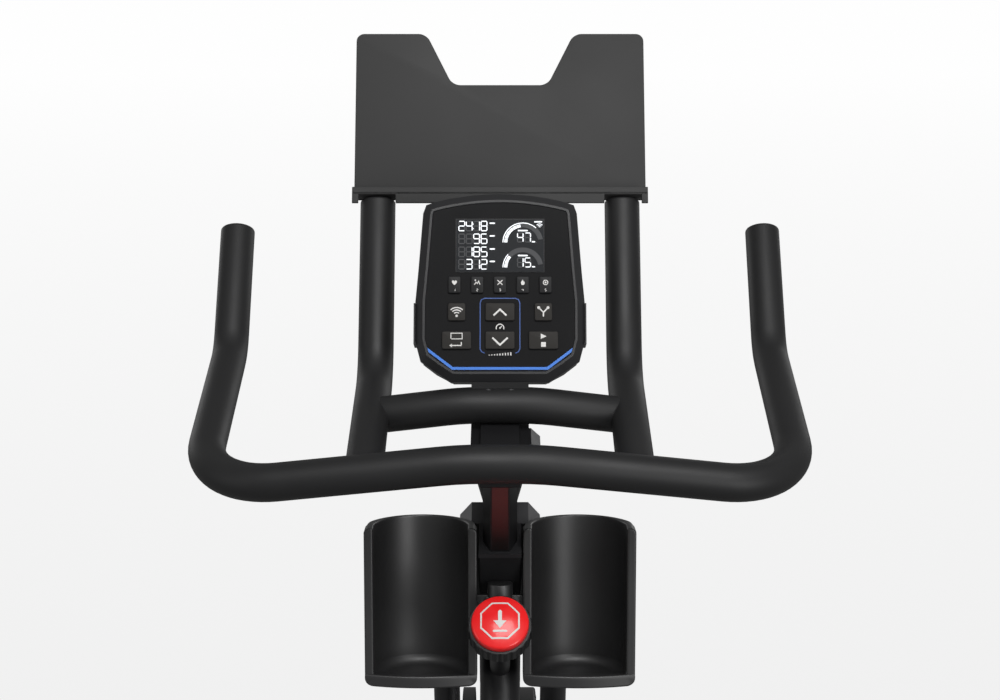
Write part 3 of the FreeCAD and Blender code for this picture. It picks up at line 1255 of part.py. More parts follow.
# ---- seat group ---------------------------------------------------------
def make_seat_post():
    at = seat_tube_top()
    rise = (SEAT_HEAD_TOP - HEAD_HEIGHT / 2 - at[1]) / SEAT_LEAN_COS
    post = post_section(SEAT_INSERTION, rise, SEAT_LEAN, at)
    head_rear = SEAT_HEAD_Y - HEAD_LENGTH / 2
    head = v_channel(head_rear, SEAT_HEAD_TOP)
    groove = v_section(head_rear - 20, HEAD_LENGTH + 40, SEAT_HEAD_TOP + V_RISE, FIT)
    hole = Part.makeCylinder(KNOB_SCREW / 2 + RUNNING, 60, V(0, seat_reach_knob_y(), SEAT_HEAD_TOP - 80))
    return fused([post.cut(groove), head]).cut(hole)


def seat_reach_knob_y():
    """The clamp knob stands under the rear of the saddle's head."""
    return SEAT_HEAD_Y - HEAD_LENGTH / 2 + SEAT_REACH_KNOB_AHEAD


def make_seat_carriage():
    """V-shaped bar with the plate that the saddle is bolted on."""
    bar = v_section(SEAT_HEAD_Y - CARRIAGE_LENGTH / 2, CARRIAGE_LENGTH, SEAT_HEAD_TOP + V_RISE - FIT)
    top = SEAT_HEAD_TOP + V_RISE - FIT
    plate_top = SADDLE_BOTTOM - SOFT_GAP
    stand = block(0, SEAT_HEAD_Y - 50, top, 34, 60, plate_top - SEAT_PLATE - top)
    plate = block(0, SEAT_HEAD_Y - 70, plate_top - SEAT_PLATE, 90, 110, SEAT_PLATE)
    return fused([bar, stand, plate])


def make_saddle():
    """Padded saddle: a broad rounded rear that narrows to the nose."""
    rear = SEAT_HEAD_Y - 20 - SADDLE_LENGTH / 2
    nose = rear + SADDLE_LENGTH
    half = SADDLE_WIDTH / 2
    tip = SADDLE_NOSE / 2
    shoulder = rear + SADDLE_LENGTH * 0.3
    waist = rear + SADDLE_LENGTH * 0.62
    right = [V(0, rear + 14, 0), V(half * 0.62, rear + 2, 0), V(half, shoulder, 0),
             V(tip + 14, waist, 0), V(tip, nose - tip, 0)]
    left = [V(-point.x, point.y, 0) for point in right]
    edges = []
    for side in (right, left):
        edges.append(Part.Arc(side[0], side[1], side[2]).toShape())
        edges.append(Part.Arc(side[2], side[3], side[4]).toShape())
    edges.append(Part.Arc(right[-1], V(0, nose, 0), left[-1]).toShape())
    plan = Part.Face(Part.Wire(Part.__sortEdges__(edges)))
    body = plan.extrude(V(0, 0, SADDLE_THICK))
    body.translate(V(0, 0, SADDLE_BOTTOM))
    return body.makeFillet(9.0, [edge for edge in body.Edges if edge.BoundBox.ZMin > SADDLE_HEIGHT - 1])


# ---- all the pieces -----------------------------------------------------
def make_parts():
    tubes = handlebar_tubes(BAR_TUBE / 2, 0.0)
    nodes = {
        "main_frame": make_main_frame(),
        "front_fork": make_front_fork(),
        "head_cowl": make_head_cowl(),
        "post_bushes": make_post_bushes(),
        "front_stabilizer": make_front_stabilizer(),
        "rear_stabilizer": make_rear_stabilizer(),
        "stabilizer_caps": make_stabilizer_caps(),
        "frame_bolts": make_frame_bolts(),
        "bottle_holder": make_bottle_holder(),
        "drive_cover_inner": make_drive_cover_inner(),
        "drive_cover_outer": make_drive_cover_outer(),
        "flywheel_cover": make_flywheel_cover(),
        "bearings": make_bearings(),
        "flywheel_axle": make_flywheel_axle(),
        "drive_belt": make_drive_belt(),
        "servo_motor": make_servo(),
        "handlebar_post": make_handlebar_post(),
        "handlebar_carriage": make_handlebar_carriage(tubes),
        "handlebar": make_handlebar(),
        "media_rack": make_media_rack().cut(tubes),
        "console_bracket": make_console_bracket(tubes),
        "console_back": make_console_back(),
        "console_front": make_console_front(),
        "console_lens": make_console_lens(),
        "console_board": make_console_board(),
        "brake_knob": make_brake_knob(),
        "brake_cap": make_brake_cap(),
        "brake_rod": make_brake_rod(),
        "brake_spring": make_brake_spring(),
        "magnet_arm": make_magnet_arm(),
        "flywheel": make_flywheel(),
        "flywheel_pulley": make_flywheel_pulley(),
        "crank_axle": make_crank_axle(),
        "drive_pulley": make_drive_pulley(),
        "crank_left": make_crank(-1),
        "crank_right": make_crank(1),
        "pedal_left": make_pedal(-1),
        "pedal_right": make_pedal(1),
        "seat_post": make_seat_post(),
        "seat_carriage": make_seat_carriage(),
        "saddle": make_saddle(),
        "bar_height_knob": make_height_knob(POST_LEAN, RECEIVER_TOP, HEIGHT_KNOB_DROP, HEIGHT_KNOB_REACH),
        "bar_reach_knob": make_cone_knob(reach_knob_y(), HEAD_TOP),
        "seat_height_knob": make_height_knob(SEAT_LEAN, seat_tube_top(), SEAT_KNOB_DROP, SEAT_KNOB_REACH),
        "seat_reach_knob": make_cone_knob(seat_reach_knob_y(), SEAT_HEAD_TOP),
        "foot_left": make_foot(-1),
        "foot_right": make_foot(1),
        "wheel_left": make_wheel(-1),
        "wheel_right": make_wheel(1),
    }
    for name, (x, along, width, height) in all_keys().items():
        nodes[name] = make_key(x, along, width, height)
    return nodes


def main():
    os.makedirs("parts", exist_ok=True)
    for name, shape in make_parts().items():
        shape.exportStep("parts/%s.step" % name)
        box = shape.BoundBox
        print("%-20s solids %d valid %s volume %.0f  x %.1f %.1f y %.1f %.1f z %.1f %.1f" % (
            name, len(shape.Solids), shape.isValid(), shape.Volume, box.XMin, box.XMax, box.YMin, box.YMax,
            box.ZMin, box.ZMax))


if __name__ == "__main__":
    main()
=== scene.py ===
# %% [markdown]
# # An indoor-cycling bike
#
# The bike's frame comes packed from its engineering model: every tube, shaft and bearing is already in its
# place. Here we load it, light it, give each finish a material, and build finer versions of the pieces
# that a rider looks at: the handlebar, the console, the rack, the bottle holder, the brake and the saddle.

# %% Load the frame
import bpy
import bmesh
from math import atan2, copysign, cos, degrees, hypot, pi, radians, sin, tan
from mathutils import Matrix, Vector


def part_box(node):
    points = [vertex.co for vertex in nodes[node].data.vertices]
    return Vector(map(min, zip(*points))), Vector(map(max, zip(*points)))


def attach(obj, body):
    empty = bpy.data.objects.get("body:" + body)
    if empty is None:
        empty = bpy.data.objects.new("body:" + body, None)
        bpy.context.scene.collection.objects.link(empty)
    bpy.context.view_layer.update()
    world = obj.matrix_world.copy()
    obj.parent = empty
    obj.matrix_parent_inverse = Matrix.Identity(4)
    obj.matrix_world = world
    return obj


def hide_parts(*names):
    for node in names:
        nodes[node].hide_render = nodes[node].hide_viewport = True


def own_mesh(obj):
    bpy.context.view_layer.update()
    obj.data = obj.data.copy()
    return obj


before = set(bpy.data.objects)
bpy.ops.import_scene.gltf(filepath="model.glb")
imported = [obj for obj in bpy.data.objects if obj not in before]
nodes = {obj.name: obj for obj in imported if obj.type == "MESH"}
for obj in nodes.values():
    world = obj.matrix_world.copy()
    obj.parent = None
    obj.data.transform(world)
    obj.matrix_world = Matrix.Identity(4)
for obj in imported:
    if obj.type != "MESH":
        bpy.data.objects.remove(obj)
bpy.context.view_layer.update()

# %% [markdown]
# ## Where things are
#
# Everything at the front is measured from one point, the middle of the crossbar. The handlebar's own box
# gives it: the crossbar is its rearmost tube. Tilted pieces, such as the console, are drawn flat in a small
# frame of their own and then turned into place, because a flat drawing is far easier to check.

# %% The crossbar's middle, and tilted frames
TUBE = 0.036
CROSSBAR_HEIGHT = 0.980
CROSSBAR = Vector((0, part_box("handlebar")[0].y + TUBE / 2, CROSSBAR_HEIGHT))


def tilted(ahead, above, turn):
    """A frame at a place measured from the crossbar, turned about X by an angle in degrees."""
    return Matrix.Translation(CROSSBAR + Vector((0, ahead, above))) @ Matrix.Rotation(radians(turn), 4, "X")


CONSOLE = tilted(0.113, 0.026, -35)
RACK = tilted(0.310, 0.139, -37)
HOLDER = tilted(0.035, -0.172, -19)
BRAKE = tilted(-0.010, -0.1665, 30.2)
RECEIVER = tilted(0.049, -0.133, 13)
print("crossbar at", tuple(round(v, 4) for v in CROSSBAR))

# %% [markdown]
# ## The camera
#
# The rider's own view: behind and above the bars, looking down on them through a slightly long lens.

# %% Camera
scene = bpy.context.scene


def shown(name, data):
    """A new object in the scene."""
    made = bpy.data.objects.new(name, data)
    scene.collection.objects.link(made)
    return made


LENS, SENSOR = 64.8, 36
CAMERA_BEHIND, CAMERA_ABOVE, LOOKING_DOWN = 1.418, 0.823, 26.5
camera_data = bpy.data.cameras.new("rider_view")
camera_data.lens = LENS
camera_data.sensor_width = SENSOR
camera = shown("rider_view", camera_data)
camera.location = CROSSBAR + Vector((0, -CAMERA_BEHIND, CAMERA_ABOVE))
camera.rotation_euler = (radians(90 - LOOKING_DOWN), 0, 0)
scene.camera = camera

# %% [markdown]
# ## Helpers for pieces
#
# A piece is drawn in a bmesh, turned into its place, and made an object that stays at the origin. The same
# steps and shapes come up again and again: a bent tube, a slab with a drawn outline, a turned profile.

# %% Small steps
SHARP_FROM = radians(40)
SHADED_SHARP_FROM = radians(35)


def verts_of(parts):
    """The points among some parts of a mesh."""
    return [part for part in parts if isinstance(part, bmesh.types.BMVert)]


def edges_of(parts):
    """The edges among some parts of a mesh."""
    return [part for part in parts if isinstance(part, bmesh.types.BMEdge)]


def face_out(mesh):
    """Turn all faces outwards."""
    bmesh.ops.recalc_face_normals(mesh, faces=mesh.faces)


def shift(mesh, move):
    """Move a whole mesh."""
    bmesh.ops.translate(mesh, vec=move, verts=mesh.verts)


def put(mesh, place):
    """Turn and move a whole mesh by a matrix."""
    bmesh.ops.transform(mesh, matrix=place, verts=mesh.verts)


def draw_out(mesh, faces, move):
    """Draw flat faces along a vector into a solid."""
    moved = bmesh.ops.extrude_face_region(mesh, geom=faces, use_keep_orig=True)["geom"]
    bmesh.ops.translate(mesh, vec=move, verts=verts_of(moved))
    face_out(mesh)


def sharp_edges(mesh):
    """The edges where two faces meet at a clear angle."""
    return [edge for edge in mesh.edges if edge.is_manifold and edge.calc_face_angle() > SHARP_FROM]


def round_off(mesh, geom, radius, segments, affect="EDGES", clamp=False):
    """Round edges or corner points."""
    bmesh.ops.bevel(mesh, geom=geom, offset=radius, affect=affect, segments=segments, profile=0.5,
                    material=-1, clamp_overlap=clamp)


# %% From a bmesh to a piece that rides on a body
def piece(name, mesh, body, material, place=None, stands_for=()):
    """Make the finished object from a bmesh, and tie it to its body."""
    if place is not None:
        put(mesh, place)
    data = bpy.data.meshes.new(name)
    mesh.to_mesh(data)
    mesh.free()
    made = shown(name, data)
    data.materials.append(material)
    data.shade_smooth()
    data.set_sharp_from_angle(angle=SHADED_SHARP_FROM)
    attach(made, body)
    if stands_for:
        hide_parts(*stands_for)
    return made


# %% A bent tube
TUBE_SIDES, TUBE_END_RADIUS, DEGREES_A_STEP = 40, 0.003, 5


def extruded(mesh, edges, move):
    """Draw a ring of edges out along a vector, and return the new ring."""
    drawn = bmesh.ops.extrude_edge_only(mesh, edges=edges)["geom"]
    points = verts_of(drawn)
    bmesh.ops.translate(mesh, vec=move, verts=points)
    return [edge for edge in edges_of(drawn) if all(vert in points for vert in edge.verts)]


def bent_tube(mesh, points, bends, radius):
    """A tube along straight runs that are joined by arcs of the radii given."""
    direction = (points[1] - points[0]).normalized()
    turn = direction.to_track_quat("Z", "Y").to_matrix().to_4x4()
    ring = bmesh.ops.create_circle(mesh, cap_ends=True, segments=TUBE_SIDES, radius=radius,
                                   matrix=Matrix.Translation(points[0]) @ turn)
    edges = list(dict.fromkeys(edge for vert in ring["verts"] for edge in vert.link_edges))
    rims = list(edges)
    here = points[0]
    for corner, before, after, bend in zip(points[1:-1], points, points[2:], bends):
        back = (before - corner).normalized()
        ahead = (after - corner).normalized()
        half = back.angle(ahead) / 2
        start = corner + back * (bend / tan(half))
        end = corner + ahead * (bend / tan(half))
        centre = corner + (back + ahead).normalized() * (bend / sin(half))
        edges = extruded(mesh, edges, start - here)
        angle = pi - 2 * half
        ring = edges + list(dict.fromkeys(vert for edge in edges for vert in edge.verts))
        spun = bmesh.ops.spin(mesh, geom=ring, cent=centre, angle=angle,
                              axis=(start - centre).cross(end - centre).normalized(),
                              steps=max(3, int(degrees(angle) / DEGREES_A_STEP)))
        edges = edges_of(spun["geom_last"])
        here = end
    edges = extruded(mesh, edges, points[-1] - here)
    bmesh.ops.contextual_create(mesh, geom=edges)
    face_out(mesh)
    round_off(mesh, rims + edges, TUBE_END_RADIUS, 4)


# %% Slabs and turned shapes
def both_sides(half, lead=0):
    """An outline from its right side's points and their mirrored twins, of which the last few can lead."""
    whole = half + [(-x, z) for x, z in reversed(half)]
    return whole[len(whole) - lead:] + whole[:len(whole) - lead]


def rectangle(width, height, x=0.0, z=0.0):
    """Corners of a rectangle round its middle."""
    left, right, low, high = x - width / 2, x + width / 2, z - height / 2, z + height / 2
    return [(left, low), (right, low), (right, high), (left, high)]


def flat_face(mesh, outline, y):
    """A face in the X, Z plane from its corner points."""
    return mesh.faces.new([mesh.verts.new((x, y, z)) for x, z in outline])


def thicken(mesh, faces, depth, bevel=0.0):
    """Draw flat faces back along Y into a slab, and round its edges."""
    draw_out(mesh, faces, (0, depth, 0))
    if bevel:
        round_off(mesh, sharp_edges(mesh), bevel, 3, clamp=True)


def slab(outline, depth, bevel=0.0, y=0.0, corner=0.0, choose=lambda point: True):
    """A bmesh of a flat outline with a thickness, and with its chosen corners rounded."""
    mesh = bmesh.new()
    face = flat_face(mesh, outline, y)
    if corner:
        round_off(mesh, [vert for vert in face.verts if choose(vert.co)], corner, 6, affect="VERTICES")
        face = max(mesh.faces, key=lambda each: each.calc_area())
    thicken(mesh, [face], depth, bevel)
    return mesh


def turned(profile, around):
    """A shape turned about Z from its profile of radius and height."""
    mesh = bmesh.new()
    points = [mesh.verts.new((radius, 0, height)) for radius, height in profile]
    edges = [mesh.edges.new(pair) for pair in zip(points, points[1:])]
    bmesh.ops.spin(mesh, geom=points + edges, cent=(0, 0, 0), axis=(0, 0, 1), angle=2 * pi, steps=around,
                   use_merge=True)
    bmesh.ops.remove_doubles(mesh, verts=mesh.verts, dist=1e-6)
    face_out(mesh)
    return mesh


def merged(meshes):
    """Several bmeshes as one."""
    whole = meshes[0]
    for other in meshes[1:]:
        carrier = bpy.data.meshes.new("carrier")
        other.to_mesh(carrier)
        other.free()
        whole.from_mesh(carrier)
        bpy.data.meshes.remove(carrier)
    return whole


def mirrored(mesh):
    """The same bmesh with its twin on the other side."""
    twin = mesh.copy()
    bmesh.ops.scale(twin, vec=(-1, 1, 1), verts=twin.verts)
    bmesh.ops.reverse_faces(twin, faces=twin.faces)
    return merged([mesh, twin])


# %% [markdown]
# ## Finishes
#
# Nearly everything here is black, and what tells one black from another is how it scatters light: powder coat
# has a tiny orange peel, moulded plastic a fine spark-eroded grain, dipped vinyl a soft sheen. One node group
# makes that grain, with a slow cloudy change under it, and each material sets its size and strength.


# %% The grain group
def fill(node, values):
    """Set some inputs of a node."""
    for name, value in values.items():
        node.inputs[name].default_value = value


def add_node(tree, kind, values=None):
    """A new shader node, with some of its inputs set."""
    node = tree.nodes.new("ShaderNode" + kind)
    fill(node, values or {})
    return node


def wire(tree, *links):
    """Join outputs to inputs: a node, its output, another node and its input, for each link."""
    for source, output, target, entry in links:
        tree.links.new(source.outputs[output], target.inputs[entry])


def grain_group():
    """Fine bumps and a slow variation, both from noise on the object's own coordinates."""
    group = bpy.data.node_groups.new("surface_grain", "ShaderNodeTree")
    face = group.interface
    face.new_socket("Vector", in_out="INPUT", socket_type="NodeSocketVector")
    for name, value in (("Grain size", 900.0), ("Grain depth", 0.1), ("Cloud size", 9.0)):
        face.new_socket(name, in_out="INPUT", socket_type="NodeSocketFloat").default_value = value
    face.new_socket("Normal", in_out="OUTPUT", socket_type="NodeSocketVector")
    face.new_socket("Cloud", in_out="OUTPUT", socket_type="NodeSocketFloat")
    entry = group.nodes.new("NodeGroupInput")
    leave = group.nodes.new("NodeGroupOutput")
    fine = add_node(group, "TexNoise", {"Detail": 3.0})
    cloud = add_node(group, "TexNoise", {"Detail": 4.0})
    bump = add_node(group, "Bump", {"Distance": 0.0002})
    wire(group, (entry, "Vector", fine, "Vector"), (entry, "Grain size", fine, "Scale"),
         (entry, "Vector", cloud, "Vector"), (entry, "Cloud size", cloud, "Scale"),
         (entry, "Grain depth", bump, "Strength"), (fine, "Fac", bump, "Height"),
         (bump, "Normal", leave, "Normal"), (cloud, "Fac", leave, "Cloud"))
    return group


GRAIN = grain_group()


# %% A material from a colour, a roughness and a grain
def ramp(tree, low, high, low_value, high_value):
    """A map of a range of values on to another."""
    return add_node(tree, "MapRange", {"From Min": low, "From Max": high, "To Min": low_value,
                                       "To Max": high_value})


def colour_mix(tree, first, second):
    """A step from one colour to another, as its factor rises."""
    node = add_node(tree, "Mix")
    node.data_type = "RGBA"
    fill(node, {6: (*first, 1), 7: (*second, 1)})
    return node


def new_material(name):
    """A material, its node tree and its shader."""
    material = bpy.data.materials.new(name)
    material.use_nodes = True
    return material, material.node_tree, material.node_tree.nodes["Principled BSDF"]


def finish(name, colour, roughness, grain, depth, spread=0.06, tint=0.12, coat=0, metallic=0, specular=0.5):
    """A material with the grain group on its normal, roughness and colour."""
    material, tree, shader = new_material(name)
    place = add_node(tree, "TexCoord")
    surface = add_node(tree, "Group")
    surface.node_tree = GRAIN
    fill(surface, {"Grain size": grain, "Grain depth": depth})
    rough = ramp(tree, 0.3, 0.7, roughness - spread, roughness + spread)
    shade = colour_mix(tree, [channel * (1 - tint) for channel in colour],
                       [min(1, channel * (1 + tint)) for channel in colour])
    fill(shader, {"Metallic": metallic, "Coat Weight": coat, "Specular IOR Level": specular})
    wire(tree, (place, "Object", surface, "Vector"), (surface, "Cloud", rough, "Value"),
         (surface, "Cloud", shade, "Factor"), (rough, "Result", shader, "Roughness"),
         (shade, 2, shader, "Base Color"), (surface, "Normal", shader, "Normal"))
    return material


DIPPED = finish("dipped_vinyl", (0.013, 0.013, 0.0135), 0.52, 700, 0.10, specular=0.42)
POWDER = finish("powder_coat", (0.011, 0.011, 0.012), 0.42, 420, 0.16, specular=0.42)
MOULDED = finish("moulded_black", (0.011, 0.011, 0.0115), 0.46, 1100, 0.14, specular=0.40)
SATIN = finish("satin_moulding", (0.0115, 0.0115, 0.012), 0.47, 1000, 0.08, specular=1.00)
HOOD = finish("hood_grey", (0.055, 0.055, 0.058), 0.50, 900, 0.12, specular=0.35)
COLLAR = finish("collar_grey", (0.024, 0.024, 0.026), 0.45, 900, 0.10, specular=0.40)
RACK_GREY = finish("rack_grey", (0.040, 0.040, 0.040), 0.62, 800, 0.10, specular=0.30)
RIM_GREY = finish("console_rim", (0.020, 0.020, 0.0215), 0.42, 900, 0.08, specular=0.40)
FACE_BLACK = finish("console_face", (0.0065, 0.0065, 0.0072), 0.55, 1300, 0.06, specular=0.12)
KEY_GREY = finish("key_rubber", (0.028, 0.026, 0.024), 0.58, 1300, 0.08, specular=0.20)
RUBBER = finish("rubber", (0.013, 0.013, 0.013), 0.75, 700, 0.20, specular=0.30)
RED = finish("red_gloss", (0.90, 0.014, 0.016), 0.30, 300, 0.02, spread=0.03, tint=0.05, coat=0.3)
STEEL = finish("zinc_steel", (0.55, 0.55, 0.56), 0.30, 600, 0.06, metallic=1)
CAST = finish("cast_aluminium", (0.60, 0.60, 0.62), 0.42, 300, 0.25, metallic=1)
BOARD = finish("board_green", (0.02, 0.11, 0.05), 0.40, 500, 0.05)
NECK_BLACK = finish("neck_black", (0.0045, 0.0045, 0.005), 0.50, 420, 0.12, specular=0.20)
OXIDE = finish("black_oxide", (0.05, 0.05, 0.052), 0.40, 600, 0.06, metallic=0.6, specular=0.3)
print("finishes:", len(bpy.data.materials))


# %% [markdown]
# The display's segments glow, as a backlit display does, and the two blue lines glow a little. The white
# print on the keys does not.


# %% Printed and lit marks
def plain(name, colour, roughness=0.5, glow=0.0):
    """A printed mark or a lit segment."""
    material = finish(name, colour, roughness, 1500, 0.02, spread=0.02, tint=0.04)
    shader = material.node_tree.nodes["Principled BSDF"]
    fill(shader, {"Emission Color": (*colour, 1), "Emission Strength": glow})
    return material


SEGMENT = plain("lit_segment", (0.80, 0.82, 0.85), glow=0.55)
DIM_SEGMENT = plain("dim_segment", (0.030, 0.032, 0.036))
PRINT = plain("white_print", (0.72, 0.71, 0.69))
BLUE = plain("blue_line", (0.030, 0.165, 0.60), 0.4, glow=0.16)
BLUE_DARK = plain("blue_loop", (0.022, 0.075, 0.28), 0.4, glow=0.10)
PROGRAM_BLACK = finish("program_key", (0.013, 0.013, 0.014), 0.50, 1300, 0.06, specular=0.25)
LEATHER = finish("saddle_cover", (0.013, 0.013, 0.0135), 0.55, 260, 0.35, specular=0.40)
GLASS_BLACK = finish("display_glass", (0.010, 0.0115, 0.014), 0.35, 100, 0.0, spread=0.02, specular=0.12)


# %% [markdown]
# ## The room
#
# A pale floor that runs into a pale sky without a corner. One broad softbox above the bars gives the main
# light, a second stands behind the rider on the right, and three weak ones lift the edges. The sky looks
# white to the camera but gives little light, so that the blacks stay black.

# %% Sky
SKY_LIGHT, SKY_SEEN = 0.22, 0.985
scene.view_settings.view_transform = "Standard"
world = bpy.data.worlds.new("studio")
world.use_nodes = True
sky = world.node_tree
background = sky.nodes["Background"]
fill(background, {"Color": (1, 1, 1, 1)})
ray_kind = add_node(sky, "LightPath")
strength = ramp(sky, 0.0, 1.0, SKY_LIGHT, SKY_SEEN)
wire(sky, (ray_kind, "Is Camera Ray", strength, "Value"), (strength, "Result", background, "Strength"))
scene.world = world

# %% Floor: its tone rises with the distance, and it neither lights the bike nor shows in it
FLOOR_SIZE = 40
FADE_FROM, FADE_TO, NEAR_TONE, FAR_TONE = 1.0, 4.4, 0.870, 0.992
floor_mesh = bmesh.new()
bmesh.ops.create_grid(floor_mesh, x_segments=2, y_segments=2, size=FLOOR_SIZE)
floor_data = bpy.data.meshes.new("studio_floor")
floor_mesh.to_mesh(floor_data)
floor_mesh.free()
floor = shown("studio_floor", floor_data)
floor_paint, tree, paper = new_material("studio_paper")
fill(paper, {"Base Color": (0, 0, 0, 1), "Specular IOR Level": 0.0, "Roughness": 1.0,
             "Emission Color": (1, 1, 1, 1)})
tone = ramp(tree, FADE_FROM, FADE_TO, NEAR_TONE, FAR_TONE)
where = add_node(tree, "TexCoord")
apart = add_node(tree, "SeparateXYZ")
wire(tree, (where, "Object", apart, "Vector"), (apart, "Y", tone, "Value"),
     (tone, "Result", paper, "Emission Strength"))
floor.visible_diffuse = False
floor.visible_glossy = False
floor_data.materials.append(floor_paint)


# %% Lights
def softbox(name, place, aim, size, power):
    """A rectangular lamp that looks at a point."""
    data = bpy.data.lights.new(name, "AREA")
    data.shape = "RECTANGLE"
    data.size, data.size_y = size
    data.energy = power
    lamp = shown(name, data)
    lamp.location = place
    lamp.rotation_euler = (Vector(aim) - Vector(place)).to_track_quat("-Z", "Y").to_euler()


softbox("key_box", (0.35, -0.8, 3.3), (0, 0.25, 0.8), (1.6, 1.2), 46)
softbox("left_box", (-2.6, -0.9, 1.7), (0, 0.2, 0.7), (0.8, 2.2), 6)
softbox("right_box", (2.0, -2.45, 1.9), (0, 0.3, 0.8), (1.25, 1.8), 35)
softbox("back_box_right", (1.5, 3.0, 0.8), (0, 0.2, 0.6), (1.6, 1.2), 7)
softbox("back_box_left", (-1.9, 2.6, 0.8), (0, 0.2, 0.6), (1.2, 1.2), 6)

# %% [markdown]
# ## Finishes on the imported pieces
#
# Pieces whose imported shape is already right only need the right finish. The hood's edges are also rounded.

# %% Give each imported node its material
FINISHES = {
    POWDER: ["main_frame", "front_fork", "front_stabilizer", "rear_stabilizer", "handlebar_post",
             "handlebar_carriage", "crank_left", "crank_right", "seat_post", "seat_carriage", "magnet_arm"],
    MOULDED: ["stabilizer_caps", "drive_cover_inner", "drive_cover_outer", "flywheel_cover", "servo_motor",
              "bar_height_knob", "bar_reach_knob", "seat_height_knob", "seat_reach_knob", "brake_knob",
              "pedal_left", "pedal_right", "console_back"],
    NECK_BLACK: ["console_bracket"],
    HOOD: ["head_cowl"],
    COLLAR: ["post_bushes"],
    RUBBER: ["foot_left", "foot_right", "wheel_left", "wheel_right", "drive_belt"],
    STEEL: ["frame_bolts", "bearings", "flywheel_axle", "crank_axle", "brake_rod", "flywheel_pulley"],
    CAST: ["drive_pulley"],
    BOARD: ["console_board"],
}


def paint(name, material):
    """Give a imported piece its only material."""
    nodes[name].data.materials.clear()
    nodes[name].data.materials.append(material)


for material, names in FINISHES.items():
    for name in names:
        paint(name, material)
soft_hood = nodes["head_cowl"].modifiers.new("soft_edges", "BEVEL")
soft_hood.width = 0.006
soft_hood.segments = 4
soft_hood.limit_method = "ANGLE"
soft_hood.angle_limit = radians(20)
print("finished", sum(len(names) for names in FINISHES.values()), "packed nodes")

# %% [markdown]
# ## The handlebar
#
# One welded set of steel tubes, dipped in soft black vinyl. The tubes are drawn as straight runs and arcs,
# because that is how a bender makes them, and they pass into each other where the real ones are coped.

# %% Handlebar
HORN, INNER = 0.281, 0.1255
HORN_BENDS = [0.060, 0.080, 0.260]
SECOND_BEND, RISER_BEND = 0.160, 0.070


def bar_points(rows):
    """Points measured from the crossbar's middle, in millimetres ahead and above."""
    return [CROSSBAR + Vector((x, ahead / 1000, above / 1000)) for x, ahead, above in rows]


def opposite(points):
    """The same points on the other side, in reverse order."""
    return [Vector((-point.x, point.y, point.z)) for point in reversed(points)]


bars = bmesh.new()
right_horn = bar_points([(HORN, 368, 77), (HORN, 262, -17), (HORN, 15, -36), (0.035, 0, 0)])
bent_tube(bars, right_horn + opposite(right_horn), HORN_BENDS + HORN_BENDS[::-1], TUBE / 2)
second = bmesh.new()
right_second = bar_points([(INNER, 123, -17), (0.035, 113, 0)])
bent_tube(second, right_second + opposite(right_second), [SECOND_BEND] * 2, TUBE / 2 - 0.0002)
riser = bmesh.new()
right_riser = bar_points([(INNER, 6, -17), (INNER, 195, -10), (INNER, 309.1, 133.4)])
bent_tube(riser, right_riser, [RISER_BEND], TUBE / 2)
piece("handlebar_tubes", merged([bars, second, mirrored(riser)]), "handlebar", DIPPED,
      stands_for=["handlebar"])

# %% [markdown]
# ## The tablet rack
#
# A flat moulded plate with a notch, so that the camera of a tablet is free, and a small shelf below. The
# shelf's lip leaves room for the two tubes that carry the rack.

# %% Rack
RACK_HALF, RACK_TOP, NOTCH = 0.150, 0.175, 0.056
NOTCH_TOP_HALF, NOTCH_FOOT_HALF = 0.077, 0.0495
LIP_LOW, LIP_HIGH, LIP_HALF = -0.012, 0.005, 0.151
FRONT = -0.016
near, far = INNER - TUBE / 2 - 0.001, INNER + TUBE / 2 + 0.001
plate = slab(both_sides([(RACK_HALF, 0), (RACK_HALF, RACK_TOP), (NOTCH_TOP_HALF, RACK_TOP),
                         (NOTCH_FOOT_HALF, RACK_TOP - NOTCH)], 1), 0.004, 0.0008, corner=0.008,
             choose=lambda point: point.z > 0.01)
shelf = slab(rectangle(2 * LIP_HALF, 0.003, 0, -0.0015), 0.020, 0.0006, y=FRONT)
lip = slab(both_sides([(near, LIP_LOW), (near, -0.003), (far, -0.003), (far, LIP_LOW), (LIP_HALF, LIP_LOW),
                       (LIP_HALF, LIP_HIGH)], 5), 0.003, 0.0007, y=FRONT)
stop = slab(rectangle(0.008, 0.005, 0.146, 0.0025), 0.013, 0.0008, y=-0.013)
tab = slab(rectangle(0.044, 0.070, INNER, 0.032), 0.005, 0.001, y=0.004)
piece("tablet_rack", merged([plate, shelf, lip, mirrored(merged([stop, tab]))]), "handlebar", RACK_GREY,
      RACK, ["media_rack"])

# %% [markdown]
# ## Marks and lines
#
# Printing is thin, but it has thickness: a line is a wall as thick as the line is wide, an arc is a short
# edge spun about a centre, and a bar is a small slab. All of them are drawn flat, facing the rider.

# %% Lines, arcs and bars
PRINT_HEIGHT = 0.0003


def line(points, width, y=0.0):
    """A line along a path of x and z."""
    mesh = bmesh.new()
    corners = [mesh.verts.new((x, y, z)) for x, z in points]
    edges = [mesh.edges.new(pair) for pair in zip(corners, corners[1:])]
    extruded(mesh, edges, Vector((0, -PRINT_HEIGHT, 0)))
    bmesh.ops.solidify(mesh, geom=mesh.faces[:], thickness=width)
    face_out(mesh)
    return mesh


